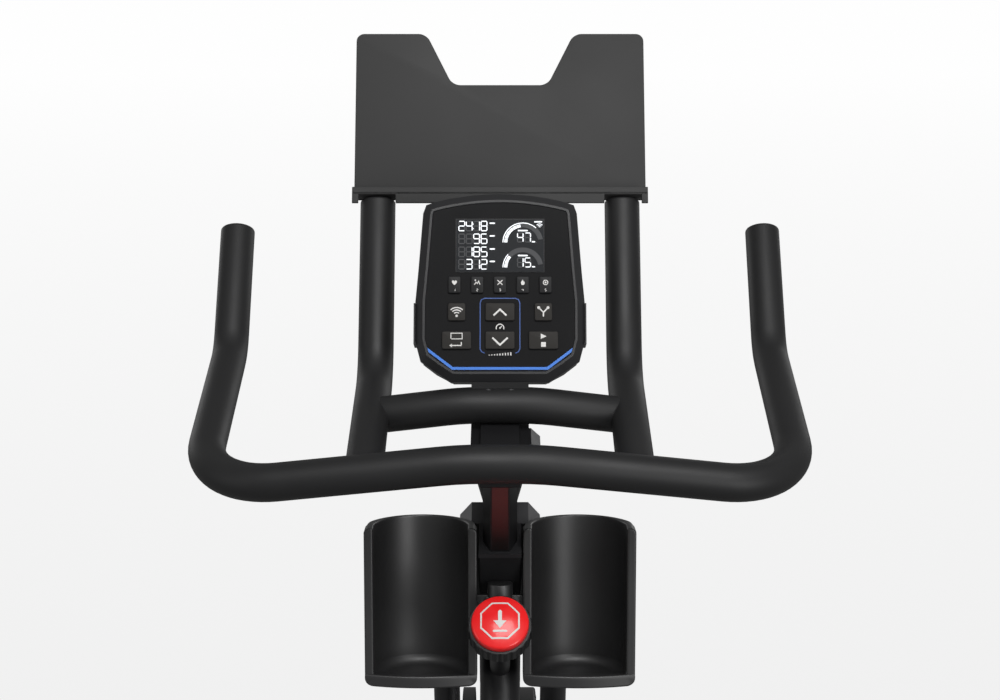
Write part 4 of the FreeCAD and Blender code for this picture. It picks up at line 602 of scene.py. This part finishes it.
def arc(centre, inner, outer, start, end, y=0.0):
    """A flat band round a centre, from one angle to another, in degrees anticlockwise from the right."""
    mesh = bmesh.new()
    turn = radians(start)
    ends = [mesh.verts.new((centre[0] + radius * cos(turn), y, centre[1] + radius * sin(turn)))
            for radius in (inner, outer)]
    edge = mesh.edges.new(ends)
    bmesh.ops.spin(mesh, geom=ends + [edge], cent=(centre[0], y, centre[1]), axis=(0, -1, 0),
                   angle=radians(end - start), steps=max(3, int(abs(end - start) / 8)))
    thicken(mesh, mesh.faces[:], -PRINT_HEIGHT)
    return mesh


def disc(centre, radius, y=0.0):
    """A filled circle."""
    return arc(centre, 0.0, radius, 0, 360, y)


def polygon(points, y=0.0):
    """A filled outline."""
    return slab(points, -PRINT_HEIGHT, y=y)


def bar(start, end, width, y=0.0):
    """A straight bar with pointed ends, as a display segment has."""
    run = (Vector(end) - Vector(start)).normalized() * width / 2
    side = Vector((-run.y, run.x))
    first, last = Vector(start), Vector(end)
    return polygon([first, first + run - side, last - run - side, last, last - run + side,
                    first + run + side], y)


# %% Digits made of seven segments
SEGMENTS = {"0": "abcdef", "1": "bc", "2": "abged", "3": "abgcd", "4": "fgbc", "5": "afgcd", "6": "afgecd",
            "7": "abc", "8": "abcdefg", "9": "abcdfg"}
STROKE = 0.00105


def digit(character, x, foot, height, y, stroke=STROKE):
    """One digit round the middle x, standing on foot."""
    half = height * 0.30
    middle, top, gap = foot + height / 2, foot + height, stroke * 0.12
    ends = {"a": ((-half, top), (half, top)), "b": ((half, top), (half, middle)),
            "c": ((half, middle), (half, foot)), "d": ((-half, foot), (half, foot)),
            "e": ((-half, middle), (-half, foot)), "f": ((-half, top), (-half, middle)),
            "g": ((-half, middle), (half, middle))}
    bars = []
    for name in SEGMENTS[character]:
        (x0, z0), (x1, z1) = ends[name]
        along = (Vector((x1, z1)) - Vector((x0, z0))).normalized() * gap
        bars.append(bar((x + x0 + along.x, z0 + along.y), (x + x1 - along.x, z1 - along.y), stroke, y))
    return bars


def number(text, right, foot, height, y, pitch):
    """Digits that end at the right."""
    bars = []
    for index, character in enumerate(reversed(text)):
        bars += digit(character, right - index * pitch, foot, height, y)
    return bars


# %% [markdown]
# ## The console
#
# The body is a shallow box with a broad chamfer, a narrow ridge and a black face set a little below it. The
# outline is half of the shape, mirrored, with an arch on top, and four insets of the front face make the
# chamfer, its upper edge, the ridge and the step down.

# %% Console outline
def on_console(name, mesh, material, stands_for=()):
    """A piece of the console, which moves with the handlebar."""
    piece(name, mesh, "handlebar", material, CONSOLE, stands_for)


SIDE = [(0.0470, 0.0), (0.0640, 0.011), (0.0770, 0.021), (0.0820, 0.040), (0.0820, 0.079), (0.0793, 0.109),
        (0.0750, 0.166), (0.0720, 0.1745), (0.0630, 0.1775)]
ARCH = 0.1855


def console_outline():
    """Half of the outline and its twin, with the top arch between them."""
    half, shoulder = SIDE[-1]
    arch = [(half * (1 - step / 8), shoulder + (ARCH - shoulder) * (1 - (1 - step / 8) ** 2))
            for step in range(1, 16)]
    return SIDE + arch + [(-x, z) for x, z in reversed(SIDE)]


# %% Console shell
CHAMFER, UPPER_EDGE, RIDGE, STEP, STEP_DOWN, SHELL_DEEP = 0.0066, 0.0007, 0.0022, 0.0007, 0.0011, 0.016
INSETS = ((CHAMFER, CHAMFER - UPPER_EDGE), (UPPER_EDGE, UPPER_EDGE), (RIDGE, 0.0), (STEP, -STEP_DOWN))
FACE_HIGH = 0.0003
shell = bmesh.new()
front = flat_face(shell, console_outline(), CHAMFER)
thicken(shell, [front], SHELL_DEEP - CHAMFER)
front = min(shell.faces, key=lambda face: face.calc_center_median().y)
for inset, rise in INSETS:
    bmesh.ops.inset_region(shell, faces=[front], thickness=inset, depth=rise, use_even_offset=True)
face_outline = [(vert.co.x, vert.co.z) for vert in front.verts]
FACE = sum(vert.co.y for vert in front.verts) / len(front.verts) - FACE_HIGH
on_console("console_rim", shell, RIM_GREY, stands_for=["console_front"])
on_console("console_face", slab(face_outline, 0.0004, y=FACE), FACE_BLACK)
print("console outline:", len(face_outline), "points, face at", round(FACE * 1000, 2), "mm")

# %% [markdown]
# The display is a glossy window that is a shade lighter than the face. Its unlit segments still show, as they
# do on a real liquid crystal: eights and full arcs lie in it in dark grey, with the lit ones on top.

# %% Display window
SCREEN = (0.085, 0.052, 0, 0.133)
GLASS = FACE - 0.0002
glass = slab(rectangle(*SCREEN), 0.0005, y=GLASS, corner=0.001)
on_console("display_glass", glass, GLASS_BLACK, ["console_lens"])
edge = rectangle(*SCREEN)
on_console("display_edge", line(edge + edge[:2], 0.0004, FACE - 0.0001), RIM_GREY)

# %% Lit and unlit segments
DIGIT, PITCH, LAST = 0.0094, 0.0072, -0.0155
SMALL, DASH = DIGIT * 0.95, 0.0014
BAND_IN, BAND_OUT, RING_IN, RING_OUT = 0.0150, 0.0180, 0.0188, 0.0197
BAND_STEP, BAND_FILLED = 14, 12.5
UNLIT = GLASS + 0.0001
ROWS = (("2418", 0.1476), ("96", 0.1350), ("185", 0.1221), ("312", 0.1098))
GAUGES = ((0.0221, 0.1361, "47", 97, 48), (0.0221, 0.1114, "15", 138, 138))
lit, unlit = [], []
for text, foot in ROWS:
    lit += number(text, LAST, foot, DIGIT, GLASS, PITCH)
    unlit += number("8888", LAST, foot, DIGIT, UNLIT, PITCH)
    lit.append(bar((LAST + 0.0052, foot + 0.0075), (LAST + 0.0108, foot + 0.0075), DASH, GLASS))
colon_foot = ROWS[0][1]
lit += [bar((-0.0268, height), (-0.0254, height), 0.0012, GLASS)
        for height in (colon_foot + 0.0022, colon_foot + 0.0066)]
for x, foot, text, thick_end, thin_end in GAUGES:
    lit.append(arc((x, foot), RING_IN, RING_OUT, 180, thin_end, GLASS))
    for start in range(180, thick_end, -BAND_STEP):
        lit.append(arc((x, foot), BAND_IN, BAND_OUT, start, max(start - BAND_FILLED, thick_end), GLASS))
    unlit.append(arc((x, foot), BAND_IN, RING_OUT, 178, 10, UNLIT))
    lit += number(text, x + 0.0048, foot + 0.0004, SMALL, GLASS, PITCH)
    unlit += number("88", x + 0.0048, foot + 0.0004, SMALL, GLASS + 0.00005, PITCH)
    lit.append(bar((x - 0.0050, foot + 0.0117), (x + 0.0050, foot + 0.0117), DASH, GLASS))
    lit.append(bar((x + 0.0086, foot + 0.0006), (x + 0.0122, foot + 0.0006), 0.0013, GLASS))
lit.append(bar((0.0330, 0.1565), (0.0412, 0.1565), 0.0013, GLASS))
lit += [arc((0.0385, 0.1505), radius, radius + 0.0007, 135, 45, GLASS) for radius in (0.0008, 0.0022, 0.0036)]
on_console("display_unlit", merged(unlit), DIM_SEGMENT)
on_console("display_lit", merged(lit), SEGMENT)
print("display:", len(ROWS), "rows and", len(GAUGES), "gauges")

# %% [markdown]
# ## Keys
#
# Every key moves by itself, so each one is its own piece, and so is the mark that is printed on it. The marks
# are plain pictures: arrows, a play sign, a flame. The five program keys also carry a small numeral.

# %% Marks for the keys, drawn round their own middles
def chevron(up):
    """An arrow head that points up or down."""
    return [line([(-0.0068, -up * 0.0030), (0, up * 0.0034), (0.0068, -up * 0.0030)], 0.0017)]


flame = [polygon([(-0.0016, -0.0014), (-0.0009, -0.0026), (0.0009, -0.0026), (0.0018, -0.0012),
                  (0.0017, 0.0004), (0.0009, 0.0014), (0.0008, 0.0003), (0.0001, 0.0030),
                  (-0.0012, 0.0012), (-0.0018, 0.0)])]
heart = [polygon([(0, -0.0027), (0.0024, -0.0002), (0.0025, 0.0011), (0.0016, 0.0020), (0.0006, 0.0018),
                  (0, 0.0010), (-0.0006, 0.0018), (-0.0016, 0.0020), (-0.0025, 0.0011), (-0.0024, -0.0002)])]
hills = [line([(-0.0030, -0.0020), (-0.0012, 0.0010), (0.0, -0.0004), (0.0014, 0.0022), (0.0030, -0.0020)],
              0.0008), disc((-0.0018, 0.0022), 0.0007)]
crossed = [bar((-0.0026, -up * 0.0024), (0.0026, up * 0.0024), 0.0009) for up in (1, -1)]
target = [arc((0, 0), 0.0018, 0.0026, 0, 360), disc((0, 0), 0.0009)]
waves = [disc((0, -0.0040), 0.0012)] + [arc((0, -0.0040), radius, radius + 0.0011, 135, 45)
                                        for radius in (0.0028, 0.0052, 0.0076)]
forked = [bar((0, -0.0050), (0, 0.0), 0.0013), bar((0, -0.0006), (-0.0045, 0.0040), 0.0013),
          bar((0, -0.0006), (0.0045, 0.0040), 0.0013), disc((-0.0045, 0.0040), 0.0014),
          disc((0.0045, 0.0040), 0.0014)]
window = rectangle(0.0100, 0.0048, 0, 0.0040)
window_and_return = [line(window + window[:1], 0.0008), bar((-0.0052, -0.0052), (0.0050, -0.0052), 0.0011),
                     bar((0.0046, -0.0056), (0.0046, -0.0016), 0.0011),
                     polygon([(-0.0070, -0.0052), (-0.0044, -0.0034), (-0.0044, -0.0070)])]
play_and_stop = [polygon([(-0.0026, 0.0064), (-0.0026, 0.0012), (0.0030, 0.0038)]),
                 polygon(rectangle(0.0046, 0.0046, 0, -0.0042))]


# %% Keys
KEY_TOP, KEY_DEEP = -0.0016, 0.0046
PRINTED = KEY_TOP + 0.0001


def key(name, across, along, size, corner, rounding, material, marks, marks_along, numeral=()):
    """A key's cap and its mark, two pieces that move with the key."""
    cap = slab(rectangle(*size, across, along), KEY_DEEP, rounding, y=KEY_TOP, corner=corner)
    piece(name + "_cap", cap, name, material, CONSOLE, [name])
    mark = merged(marks)
    shift(mark, (across, PRINTED, marks_along))
    piece(name + "_mark", merged([mark, *numeral]), name, PRINT, CONSOLE)


COLUMN, UPPER, LOWER = 0.0418, 0.0675, 0.0398
WIDE, NARROW = (0.028, 0.017), (0.0166, 0.017)
KEYS = {"key_up": (0, UPPER, WIDE, chevron(1)), "key_down": (0, LOWER, WIDE, chevron(-1)),
        "key_wireless": (-COLUMN, UPPER, NARROW, waves),
        "key_split": (COLUMN, UPPER, NARROW, forked),
        "key_display": (-COLUMN, LOWER, WIDE, window_and_return),
        "key_start": (COLUMN, LOWER, WIDE, play_and_stop)}
for name, (across, along, size, marks) in KEYS.items():
    key(name, across, along, size, 0.0018, 0.0006, KEY_GREY, marks, along)

# %% Program keys
PROGRAMS = (heart, hills, crossed, flame, target)
PROGRAM_ROW, PROGRAM_SIZE, PROGRAM_PITCH = 0.094, (0.0118, 0.016), 0.022
for index, marks in enumerate(PROGRAMS):
    across = (index - 2) * PROGRAM_PITCH
    name = "key_program_%d" % (index + 1)
    numeral = digit(name[-1], across, 0.0877, 0.0022, PRINTED, 0.0005)
    key(name, across, PROGRAM_ROW, PROGRAM_SIZE, 0.0016, 0.0005, PROGRAM_BLACK, marks, 0.0962, numeral)
print("keys:", len(KEYS) + len(PROGRAMS))

# %% [markdown]
# The blue lines are printed on the face: a thin loop round the two level keys, and a bright one that follows
# the lower corners. Between the level keys is a small gauge, and below them a row of rising ticks.

# %% Blue lines and the level marks
ON_FACE = FACE + 0.0001
DIAL = (0, 0.0520)
loop = both_sides([(-0.0150, 0.0272), (-0.0180, 0.0285), (-0.0196, 0.0315), (-0.0196, 0.0765),
                   (-0.0184, 0.0800), (-0.0150, 0.0815)])
on_console("level_loop", line(loop, 0.0009, ON_FACE), BLUE_DARK)
stripe = both_sides([(-0.0705, 0.0332), (-0.0452, 0.0140)])
on_console("blue_stripe", line(stripe, 0.0026, ON_FACE), BLUE)
gauge = [arc(DIAL, 0.0032, 0.0042, 200, -20, ON_FACE),
         bar((-0.0004, 0.0516), (0.0018, 0.0540), 0.0010, ON_FACE), disc(DIAL, 0.0008, ON_FACE)]
for index in range(9):
    x = (index - 4) * 0.0026
    gauge.append(bar((x, 0.0250), (x, 0.0262 + index * 0.0003), 0.0011, ON_FACE))
on_console("level_marks", merged(gauge), PRINT)

# %% [markdown]
# Two dark screws hold the console to its neck.

# %% Neck screws
screws = []
for x in (-0.011, 0.011):
    head = turned([(0, 0.0014), (0.0030, 0.0012), (0.0036, 0.0), (0.0036, -0.001), (0, -0.001)], 24)
    put(head, Matrix.Translation((x, 0.0045, -0.010)) @ Matrix.Rotation(radians(90), 4, "X"))
    screws.append(head)
on_console("neck_screws", merged(screws), OXIDE)

# %% [markdown]
# ## The bottle holder
#
# Two tall troughs, open towards the rider, each a moulded wall with a flat floor and a small curved lip that
# keeps the bottle in. The wall's plan is a closed outline: two arcs are spun from points, joined by short
# edges and drawn upwards. Then the rims and the outer corners are rounded, and a fillet runs round the floor.

# %% Plans, roundings and the fillet of a trough
OUTER, INNER_HALF, DEPTH, BACK, STRAIGHT = 0.05475, 0.046, 0.060, 0.0035, 0.020
TROUGH_TALL, FLOOR_THICK, LIP, APART = 0.157, 0.012, 0.009, 0.077
DROP, CORNER, TOP_CORNER, FLOOR_SEEN, FILLET = 0.0078, 0.008, 0.0052, 0.005, 0.009


def back_middle(half, depth):
    """Where the centre of a trough's round back lies: its arc meets both straight sides."""
    return (depth * depth - STRAIGHT * STRAIGHT - half * half) / (2 * (depth - STRAIGHT))


def round_back(half, depth, z):
    """The sides and the round back of a trough, as edges, and its two corners on the front line."""
    mesh = bmesh.new()
    middle = back_middle(half, depth)
    start = mesh.verts.new((-half, STRAIGHT, z))
    bmesh.ops.spin(mesh, geom=[start], cent=(0, middle, z), axis=(0, 0, -1), steps=28,
                   angle=2 * atan2(half, STRAIGHT - middle))
    corners = [mesh.verts.new((side * half, 0, z)) for side in (-1, 1)]
    for corner in corners:
        near = min((vert for vert in mesh.verts if vert not in corners),
                   key=lambda vert: (vert.co - corner.co).length)
        mesh.edges.new((corner, near))
    return mesh, corners


def plan_face(half, depth, z, hollow=None):
    """A flat plan in X and Y with a round back. A hollow in it is given by its half width and its depth."""
    mesh, corners = round_back(half, depth, z)
    if hollow:
        mesh = merged([mesh, round_back(*hollow, z)[0]])
        fronts = sorted((vert for vert in mesh.verts if abs(vert.co.y) < 1e-7), key=lambda vert: vert.co.x)
        mesh.edges.new(fronts[:2])
        mesh.edges.new(fronts[2:])
    else:
        mesh.edges.new(corners)
    bmesh.ops.contextual_create(mesh, geom=mesh.edges[:])
    return mesh


def raise_up(mesh, height):
    """Draw a flat plan upwards into a solid."""
    draw_out(mesh, mesh.faces[:], (0, 0, height))


def round_edges(mesh, radius, choose):
    """Round the sharp edges whose middles are chosen."""
    chosen = [edge for edge in sharp_edges(mesh) if choose((edge.verts[0].co + edge.verts[1].co) / 2)]
    round_off(mesh, chosen, radius, 4, clamp=True)


def rounded_corners(mesh, half, end, up, radius):
    """Round a solid's corners at one end, as seen from the rider. Squares round a corner become circles."""
    for step in range(5):
        inward = radius * step / 4
        for place, normal in (((0, 0, end - up * inward), (0, 0, 1)), ((half - inward, 0, 0), (1, 0, 0)),
                              ((inward - half, 0, 0), (1, 0, 0))):
            everything = mesh.verts[:] + mesh.edges[:] + mesh.faces[:]
            bmesh.ops.bisect_plane(mesh, geom=everything, dist=1e-6, plane_co=place, plane_no=normal)
    for vert in mesh.verts:
        side = copysign(1, vert.co.x)
        across, along = abs(vert.co.x) - (half - radius), (vert.co.z - end) * up + radius
        if across > 0 and along > 0:
            scale = max(across, along) / hypot(across, along)
            vert.co.x = side * (half - radius + across * scale)
            vert.co.z = end + up * (along * scale - radius)


def floor_fillet(half, depth, level, radius):
    """The hollow's rounded foot: a quarter circle swept along the inner wall, closed behind and below."""
    mesh = bmesh.new()
    turns = [radians(15 * step) for step in range(7)]
    section = [(radius * (1 - sin(turn)), radius * (1 - cos(turn))) for turn in turns]
    rings = []
    for inset, rise in section + [(-0.001, radius), (-0.001, -0.001), (radius, -0.001)]:
        narrow, deep = half - inset, depth - inset
        middle = back_middle(narrow, deep)
        sweep, reach = atan2(narrow, STRAIGHT - middle), deep - middle
        turns = [sweep * (1 - step / 14) for step in range(29)]
        plan = [(-reach * sin(turn), middle + reach * cos(turn)) for turn in turns]
        plan = [(-narrow, 0.0005)] + plan + [(narrow, 0.0005)]
        rings.append([mesh.verts.new((x, y, level + rise)) for x, y in plan])
    for ring, after in zip(rings, rings[1:] + rings[:1]):
        for index in range(len(ring) - 1):
            mesh.faces.new((ring[index], ring[index + 1], after[index + 1], after[index]))
    for index in (0, -1):
        mesh.faces.new([ring[index] for ring in rings])
    face_out(mesh)
    return mesh


# %% One trough
FOOT, WALL_UP = -TROUGH_TALL / 2, 0.001
RIM_RADIUS, LIP_RADIUS = 0.0016, 0.0025
wall = plan_face(OUTER, DEPTH + BACK, FOOT + WALL_UP, (INNER_HALF, DEPTH))
raise_up(wall, TROUGH_TALL - WALL_UP)
round_edges(wall, RIM_RADIUS, lambda point: point.z > FOOT + 2 * WALL_UP)
floor_plan = plan_face(OUTER, DEPTH + BACK, FOOT)
raise_up(floor_plan, FLOOR_SEEN)
lip_plan = bmesh.new()
lip_start = lip_plan.verts.new((-OUTER, 0, FOOT))
lip_middle = (OUTER ** 2 - LIP ** 2) / (2 * LIP)
bmesh.ops.spin(lip_plan, geom=[lip_start], cent=(0, lip_middle, FOOT), axis=(0, 0, 1), steps=20,
               angle=2 * atan2(OUTER, lip_middle))
lip_ends = sorted(lip_plan.verts, key=lambda vert: vert.co.x)
lip_plan.edges.new((lip_ends[0], lip_ends[-1]))
bmesh.ops.contextual_create(lip_plan, geom=lip_plan.edges[:])
raise_up(lip_plan, FLOOR_THICK)
round_edges(lip_plan, LIP_RADIUS, lambda point: point.y < -0.0001)
trough = merged([wall, floor_plan, lip_plan])
rounded_corners(trough, OUTER, FOOT, -1, CORNER)
rounded_corners(trough, OUTER, FOOT + TROUGH_TALL, 1, TOP_CORNER)
trough = merged([trough, floor_fillet(INNER_HALF, DEPTH, FOOT + FLOOR_SEEN, FILLET)])
shift(trough, (APART, 0, -DROP))
print("trough:", len(trough.faces), "faces")

# %% Bridge between the troughs
REACH = APART - OUTER + 0.001
bridge_half = [(0.007, -0.038), (0.012, -0.043), (0.013, -0.050), (REACH, -0.050), (REACH, 0.002)]
bridge = slab(both_sides(bridge_half, 4), 0.006, 0.0006, y=0.009)
rib = slab(rectangle(0.003, 0.050, 0.0125, -0.024), 0.004, 0.0005, y=0.006)
boss = turned([(0, -0.003), (0.0120, -0.003), (0.0125, -0.0025), (0.0125, 0.0128), (0.0122, 0.0137),
               (0.0115, 0.0140), (0, 0.0140)], 40)
shift(boss, (0, 0.012, 0))
holder = merged([mirrored(trough), bridge, mirrored(rib), boss])
piece("bottle_troughs", holder, "frame", SATIN, HOLDER, ["bottle_holder"])

# %% [markdown]
# ## The brake
#
# A glossy red button on a fluted black skirt. The button is turned from a profile with a soft shoulder. Its
# sign is a plain octagon with an arrow that points down into it, in place of words.

# %% Brake cap
RADIUS, DOME = 0.0275, 0.006
outs = [RADIUS * 0.93 * step / 12 for step in range(13)]
profile = [(out, DOME * (1 - (out / RADIUS) ** 2)) for out in outs]
profile += [(RADIUS * 0.965, DOME * 0.055), (RADIUS * 0.99, -0.0008), (RADIUS, -0.0025), (RADIUS, -0.0060),
            (0, -0.0060)]
piece("brake_button", turned(profile, 96), "brake", RED, BRAKE, ["brake_cap"])


# %% Sign on the cap
def on_dome(mesh):
    """Lay a flat mark, drawn in X and Z, on the dome of the cap."""
    bmesh.ops.subdivide_edges(mesh, edges=mesh.edges[:], cuts=3, use_grid_fill=True)
    put(mesh, Matrix.Rotation(radians(-90), 4, "X"))
    for vert in mesh.verts:
        out = hypot(vert.co.x, vert.co.y)
        vert.co.z += DOME * (1 - (out / RADIUS) ** 2) + SIGN_LIFT


SIGN, SIGN_LIFT = 0.0185, 0.00012
corners = [radians(22.5 + 45 * step) for step in range(9)]
octagon = [(SIGN * cos(turn), SIGN * sin(turn)) for turn in corners]
sign = merged([line(octagon + octagon[1:2], 0.0016), bar((0, 0.0105), (0, -0.0035), 0.0036),
               polygon([(-0.0062, -0.0010), (0.0, -0.0085), (0.0062, -0.0010)]),
               bar((-0.0070, -0.0112), (0.0070, -0.0112), 0.0020)])
on_dome(sign)
piece("brake_sign", sign, "brake", PRINT, BRAKE)

# %% [markdown]
# Under the button sits a coil of spring wire, between the sleeve's top and the knob. It is not stiff: on the
# real bike it flattens along the brake's axis, towards the sleeve, when the brake is pushed. Here it is drawn
# at rest, tied to the frame, with a mesh of its own.

# %% Brake spring
COIL_FOOT, COIL_TOP, COIL_RADIUS, WIRE, TURNS = -0.0228, -0.0135, 0.0089, 0.0007, 3
STEPS_A_TURN, WIRE_SIDES = 28, 10
section = [2 * pi * side / WIRE_SIDES for side in range(WIRE_SIDES)]
coil = bmesh.new()
coil_rings = []
for step in range(TURNS * STEPS_A_TURN + 1):
    turn = 2 * pi * step / STEPS_A_TURN
    height = COIL_FOOT + (COIL_TOP - COIL_FOOT) * step / (TURNS * STEPS_A_TURN)
    ring = [(COIL_RADIUS + WIRE * cos(side), height + WIRE * sin(side)) for side in section]
    coil_rings.append([coil.verts.new((out * cos(turn), out * sin(turn), up)) for out, up in ring])
for ring, after in zip(coil_rings, coil_rings[1:]):
    for side in range(WIRE_SIDES):
        other = (side + 1) % WIRE_SIDES
        coil.faces.new((ring[side], ring[other], after[other], after[side]))
for ring in (coil_rings[0], coil_rings[-1]):
    coil.faces.new(ring)
face_out(coil)
brake_coil = piece("brake_coil", coil, "frame", STEEL, BRAKE, ["brake_spring"])
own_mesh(brake_coil)

# %% [markdown]
# ## Screws of the guards
#
# Both guards are held by small dark screws near their edges: three round the flywheel's end, and on the right
# three more round the crank's end.

# %% Guard screws
HEAD, HEAD_HIGH, FROM_EDGE = 0.0042, 0.0016, 0.013
HEAD_PROFILE = [(0, HEAD_HIGH * 0.35), (HEAD * 0.42, HEAD_HIGH * 0.35), (HEAD * 0.50, HEAD_HIGH),
                (HEAD * 0.85, HEAD_HIGH * 0.9), (HEAD, 0.0004), (HEAD, -0.0008), (0, -0.0008)]


def box_middle(name):
    """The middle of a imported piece's box."""
    low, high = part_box(name)
    return (low + high) / 2


wheel_middle, crank_middle = box_middle("flywheel"), box_middle("crank_axle")
for name, side in (("drive_cover_outer", 1), ("flywheel_cover", -1)):
    low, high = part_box(name)
    face = high.x if side > 0 else low.x
    spots = [(wheel_middle, high.y - wheel_middle.y - FROM_EDGE, turn) for turn in (-50, 0, 50)]
    if side > 0:
        spots += [(crank_middle, crank_middle.y - low.y - FROM_EDGE, turn) for turn in (130, 180, 230)]
    heads = []
    for centre, reach, turn in spots:
        spot = Vector((face, centre.y + reach * cos(radians(turn)),
                       centre.z + reach * sin(radians(turn))))
        heads.append(turned(HEAD_PROFILE, 24))
        put(heads[-1], Matrix.Translation(spot) @ Matrix.Rotation(radians(90 * side), 4, "Y"))
    piece(name + "_screws", merged(heads), "frame", OXIDE)

# %% [markdown]
# ## The post's stripe
#
# The post carries a dark red stripe on its middle facet that fades into the black paint further down. It is a
# thin film, so it is a flat strip 0.15 mm proud of the facet, and its colour follows the height.

# %% Post stripe
FADE_LOW, FADE_HIGH = 0.868, 0.922
FACET, FILM = 0.00425, 0.0003
strip = slab(rectangle(0.0150, 0.094, 0, 0.053), FILM, y=FACET - FILM / 2)
fade = finish("red_fade", (0.075, 0.020, 0.018), 0.40, 420, 0.12)
tree = fade.node_tree
position = add_node(tree, "TexCoord")
split = add_node(tree, "SeparateXYZ")
mask = ramp(tree, FADE_LOW, FADE_HIGH, 0.0, 1.0)
blend = colour_mix(tree, (0.006, 0.005, 0.005), (0.110, 0.022, 0.021))
wire(tree, (position, "Object", split, "Vector"), (split, "Z", mask, "Value"),
     (mask, "Result", blend, "Factor"), (blend, 2, tree.nodes["Principled BSDF"], "Base Color"))
piece("post_stripe", strip, "bar_post", fade, RECEIVER)

# %% [markdown]
# ## The flywheel's rim
#
# The wheel is painted, but its rim is ground bright where the brake shoe runs. One material does both: a mask
# from the distance to the axle changes the colour, the metal and the roughness.

# %% Flywheel finish
PAINTED_TO, GROUND_FROM = 0.1995, 0.2000
flywheel_finish = finish("painted_wheel", (0.030, 0.030, 0.032), 0.38, 420, 0.14)
tree = flywheel_finish.node_tree
shader = tree.nodes["Principled BSDF"]
paint_colour = shader.inputs["Base Color"].links[0].from_node
position = add_node(tree, "TexCoord")
centred = add_node(tree, "Mapping", {"Location": (0, -wheel_middle.y, -wheel_middle.z)})
flat = add_node(tree, "VectorMath", {1: (0, 1, 1)})
flat.operation = "MULTIPLY"
distance = add_node(tree, "VectorMath")
distance.operation = "LENGTH"
mask = ramp(tree, PAINTED_TO, GROUND_FROM, 0.0, 1.0)
rim_colour = colour_mix(tree, (0, 0, 0), (0.50, 0.50, 0.51))
wire(tree, (position, "Object", centred, "Vector"), (centred, "Vector", flat, 0),
     (flat, "Vector", distance, 0), (distance, "Value", mask, "Value"),
     (mask, "Result", rim_colour, "Factor"), (paint_colour, 2, rim_colour, 6),
     (rim_colour, 2, shader, "Base Color"), (mask, "Result", shader, "Metallic"))
paint("flywheel", flywheel_finish)

# %% [markdown]
# ## The saddle
#
# Foam under a stretched cover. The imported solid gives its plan. A copy of it is remeshed evenly, blown up a
# little as cloth under pressure, so that its sides bulge between their edges, and smoothed.

# %% Saddle form
ROOM_TO_SWELL, SWELL_CAP = (0.94, 0.96, 0.84), 0.007
EVEN_SIZE, PRESSURE, FRAMES = 0.0045, 4.0, 20
saddle_mesh = bmesh.new()
saddle_mesh.from_mesh(nodes["saddle"].data)
bmesh.ops.remove_doubles(saddle_mesh, verts=saddle_mesh.verts, dist=1e-5)
face_out(saddle_mesh)
middle = box_middle("saddle")
shift(saddle_mesh, -middle)
bmesh.ops.scale(saddle_mesh, vec=ROOM_TO_SWELL, verts=saddle_mesh.verts)
shift(saddle_mesh, middle)
saddle = piece("saddle_pad", saddle_mesh, "seat", LEATHER, None, ["saddle"])


def settled(obj):
    """Keep the mesh as the object's modifiers leave it, and drop the modifiers."""
    result = bpy.data.meshes.new_from_object(obj.evaluated_get(bpy.context.evaluated_depsgraph_get()))
    obj.modifiers.clear()
    obj.data = result


even = saddle.modifiers.new("even_mesh", "REMESH")
even.mode = "VOXEL"
even.voxel_size = EVEN_SIZE
settled(saddle)
rest = [vert.co.copy() for vert in saddle.data.vertices]
foam = saddle.modifiers.new("foam", "CLOTH")
foam.settings.use_pressure = True
foam.settings.uniform_pressure_force = PRESSURE
foam.settings.effector_weights.gravity = 0.0
foam.point_cache.frame_start, foam.point_cache.frame_end = 1, FRAMES
for frame_number in range(1, FRAMES + 1):
    scene.frame_set(frame_number)
settled(saddle)
scene.frame_set(1)
for vert, start in zip(saddle.data.vertices, rest):
    move = vert.co - start
    if move.length > SWELL_CAP:
        vert.co = start + move * (SWELL_CAP / move.length)
moved = max((vert.co - start).length for vert, start in zip(saddle.data.vertices, rest))
print("saddle:", len(rest), "points, moved up to", round(moved * 1000, 1), "mm")

# %% [markdown]
# A channel runs along the middle of the top, and a sewn seam goes round the side. Both are pressed into the
# points before the cover is smoothed.

# %% Saddle channel and seam
SEAM_DROP, SEAM_DEPTH, SEAM_HALF, SIDE_FACING = 0.014, 0.0022, 0.0035, 0.75
CHANNEL_DEPTH, CHANNEL_HALF, CHANNEL_LONG, TOP_FACING = 0.0050, 0.013, 0.72, 0.3
points = saddle.data.vertices
top = max(vert.co.z for vert in points)
saddle_low, saddle_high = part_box("saddle")
length = saddle_high.y - saddle_low.y
for vert, normal in zip(points, [vert.normal.copy() for vert in points]):
    along = (vert.co.y - middle.y) / (length / 2)
    if normal.z > TOP_FACING and abs(vert.co.x) < CHANNEL_HALF and abs(along) < CHANNEL_LONG:
        across_fall = cos(vert.co.x / CHANNEL_HALF * pi / 2)
        vert.co.z -= CHANNEL_DEPTH * (across_fall * cos(along / CHANNEL_LONG * pi / 2) ** 0.5)
    height = vert.co.z - (top - SEAM_DROP)
    if abs(normal.z) < SIDE_FACING and abs(height) < SEAM_HALF:
        vert.co -= normal * SEAM_DEPTH * cos(height / SEAM_HALF * pi / 2)
saddle.data.shade_smooth()
smooth = saddle.modifiers.new("smooth_cover", "SUBSURF")
smooth.levels = smooth.render_levels = 1
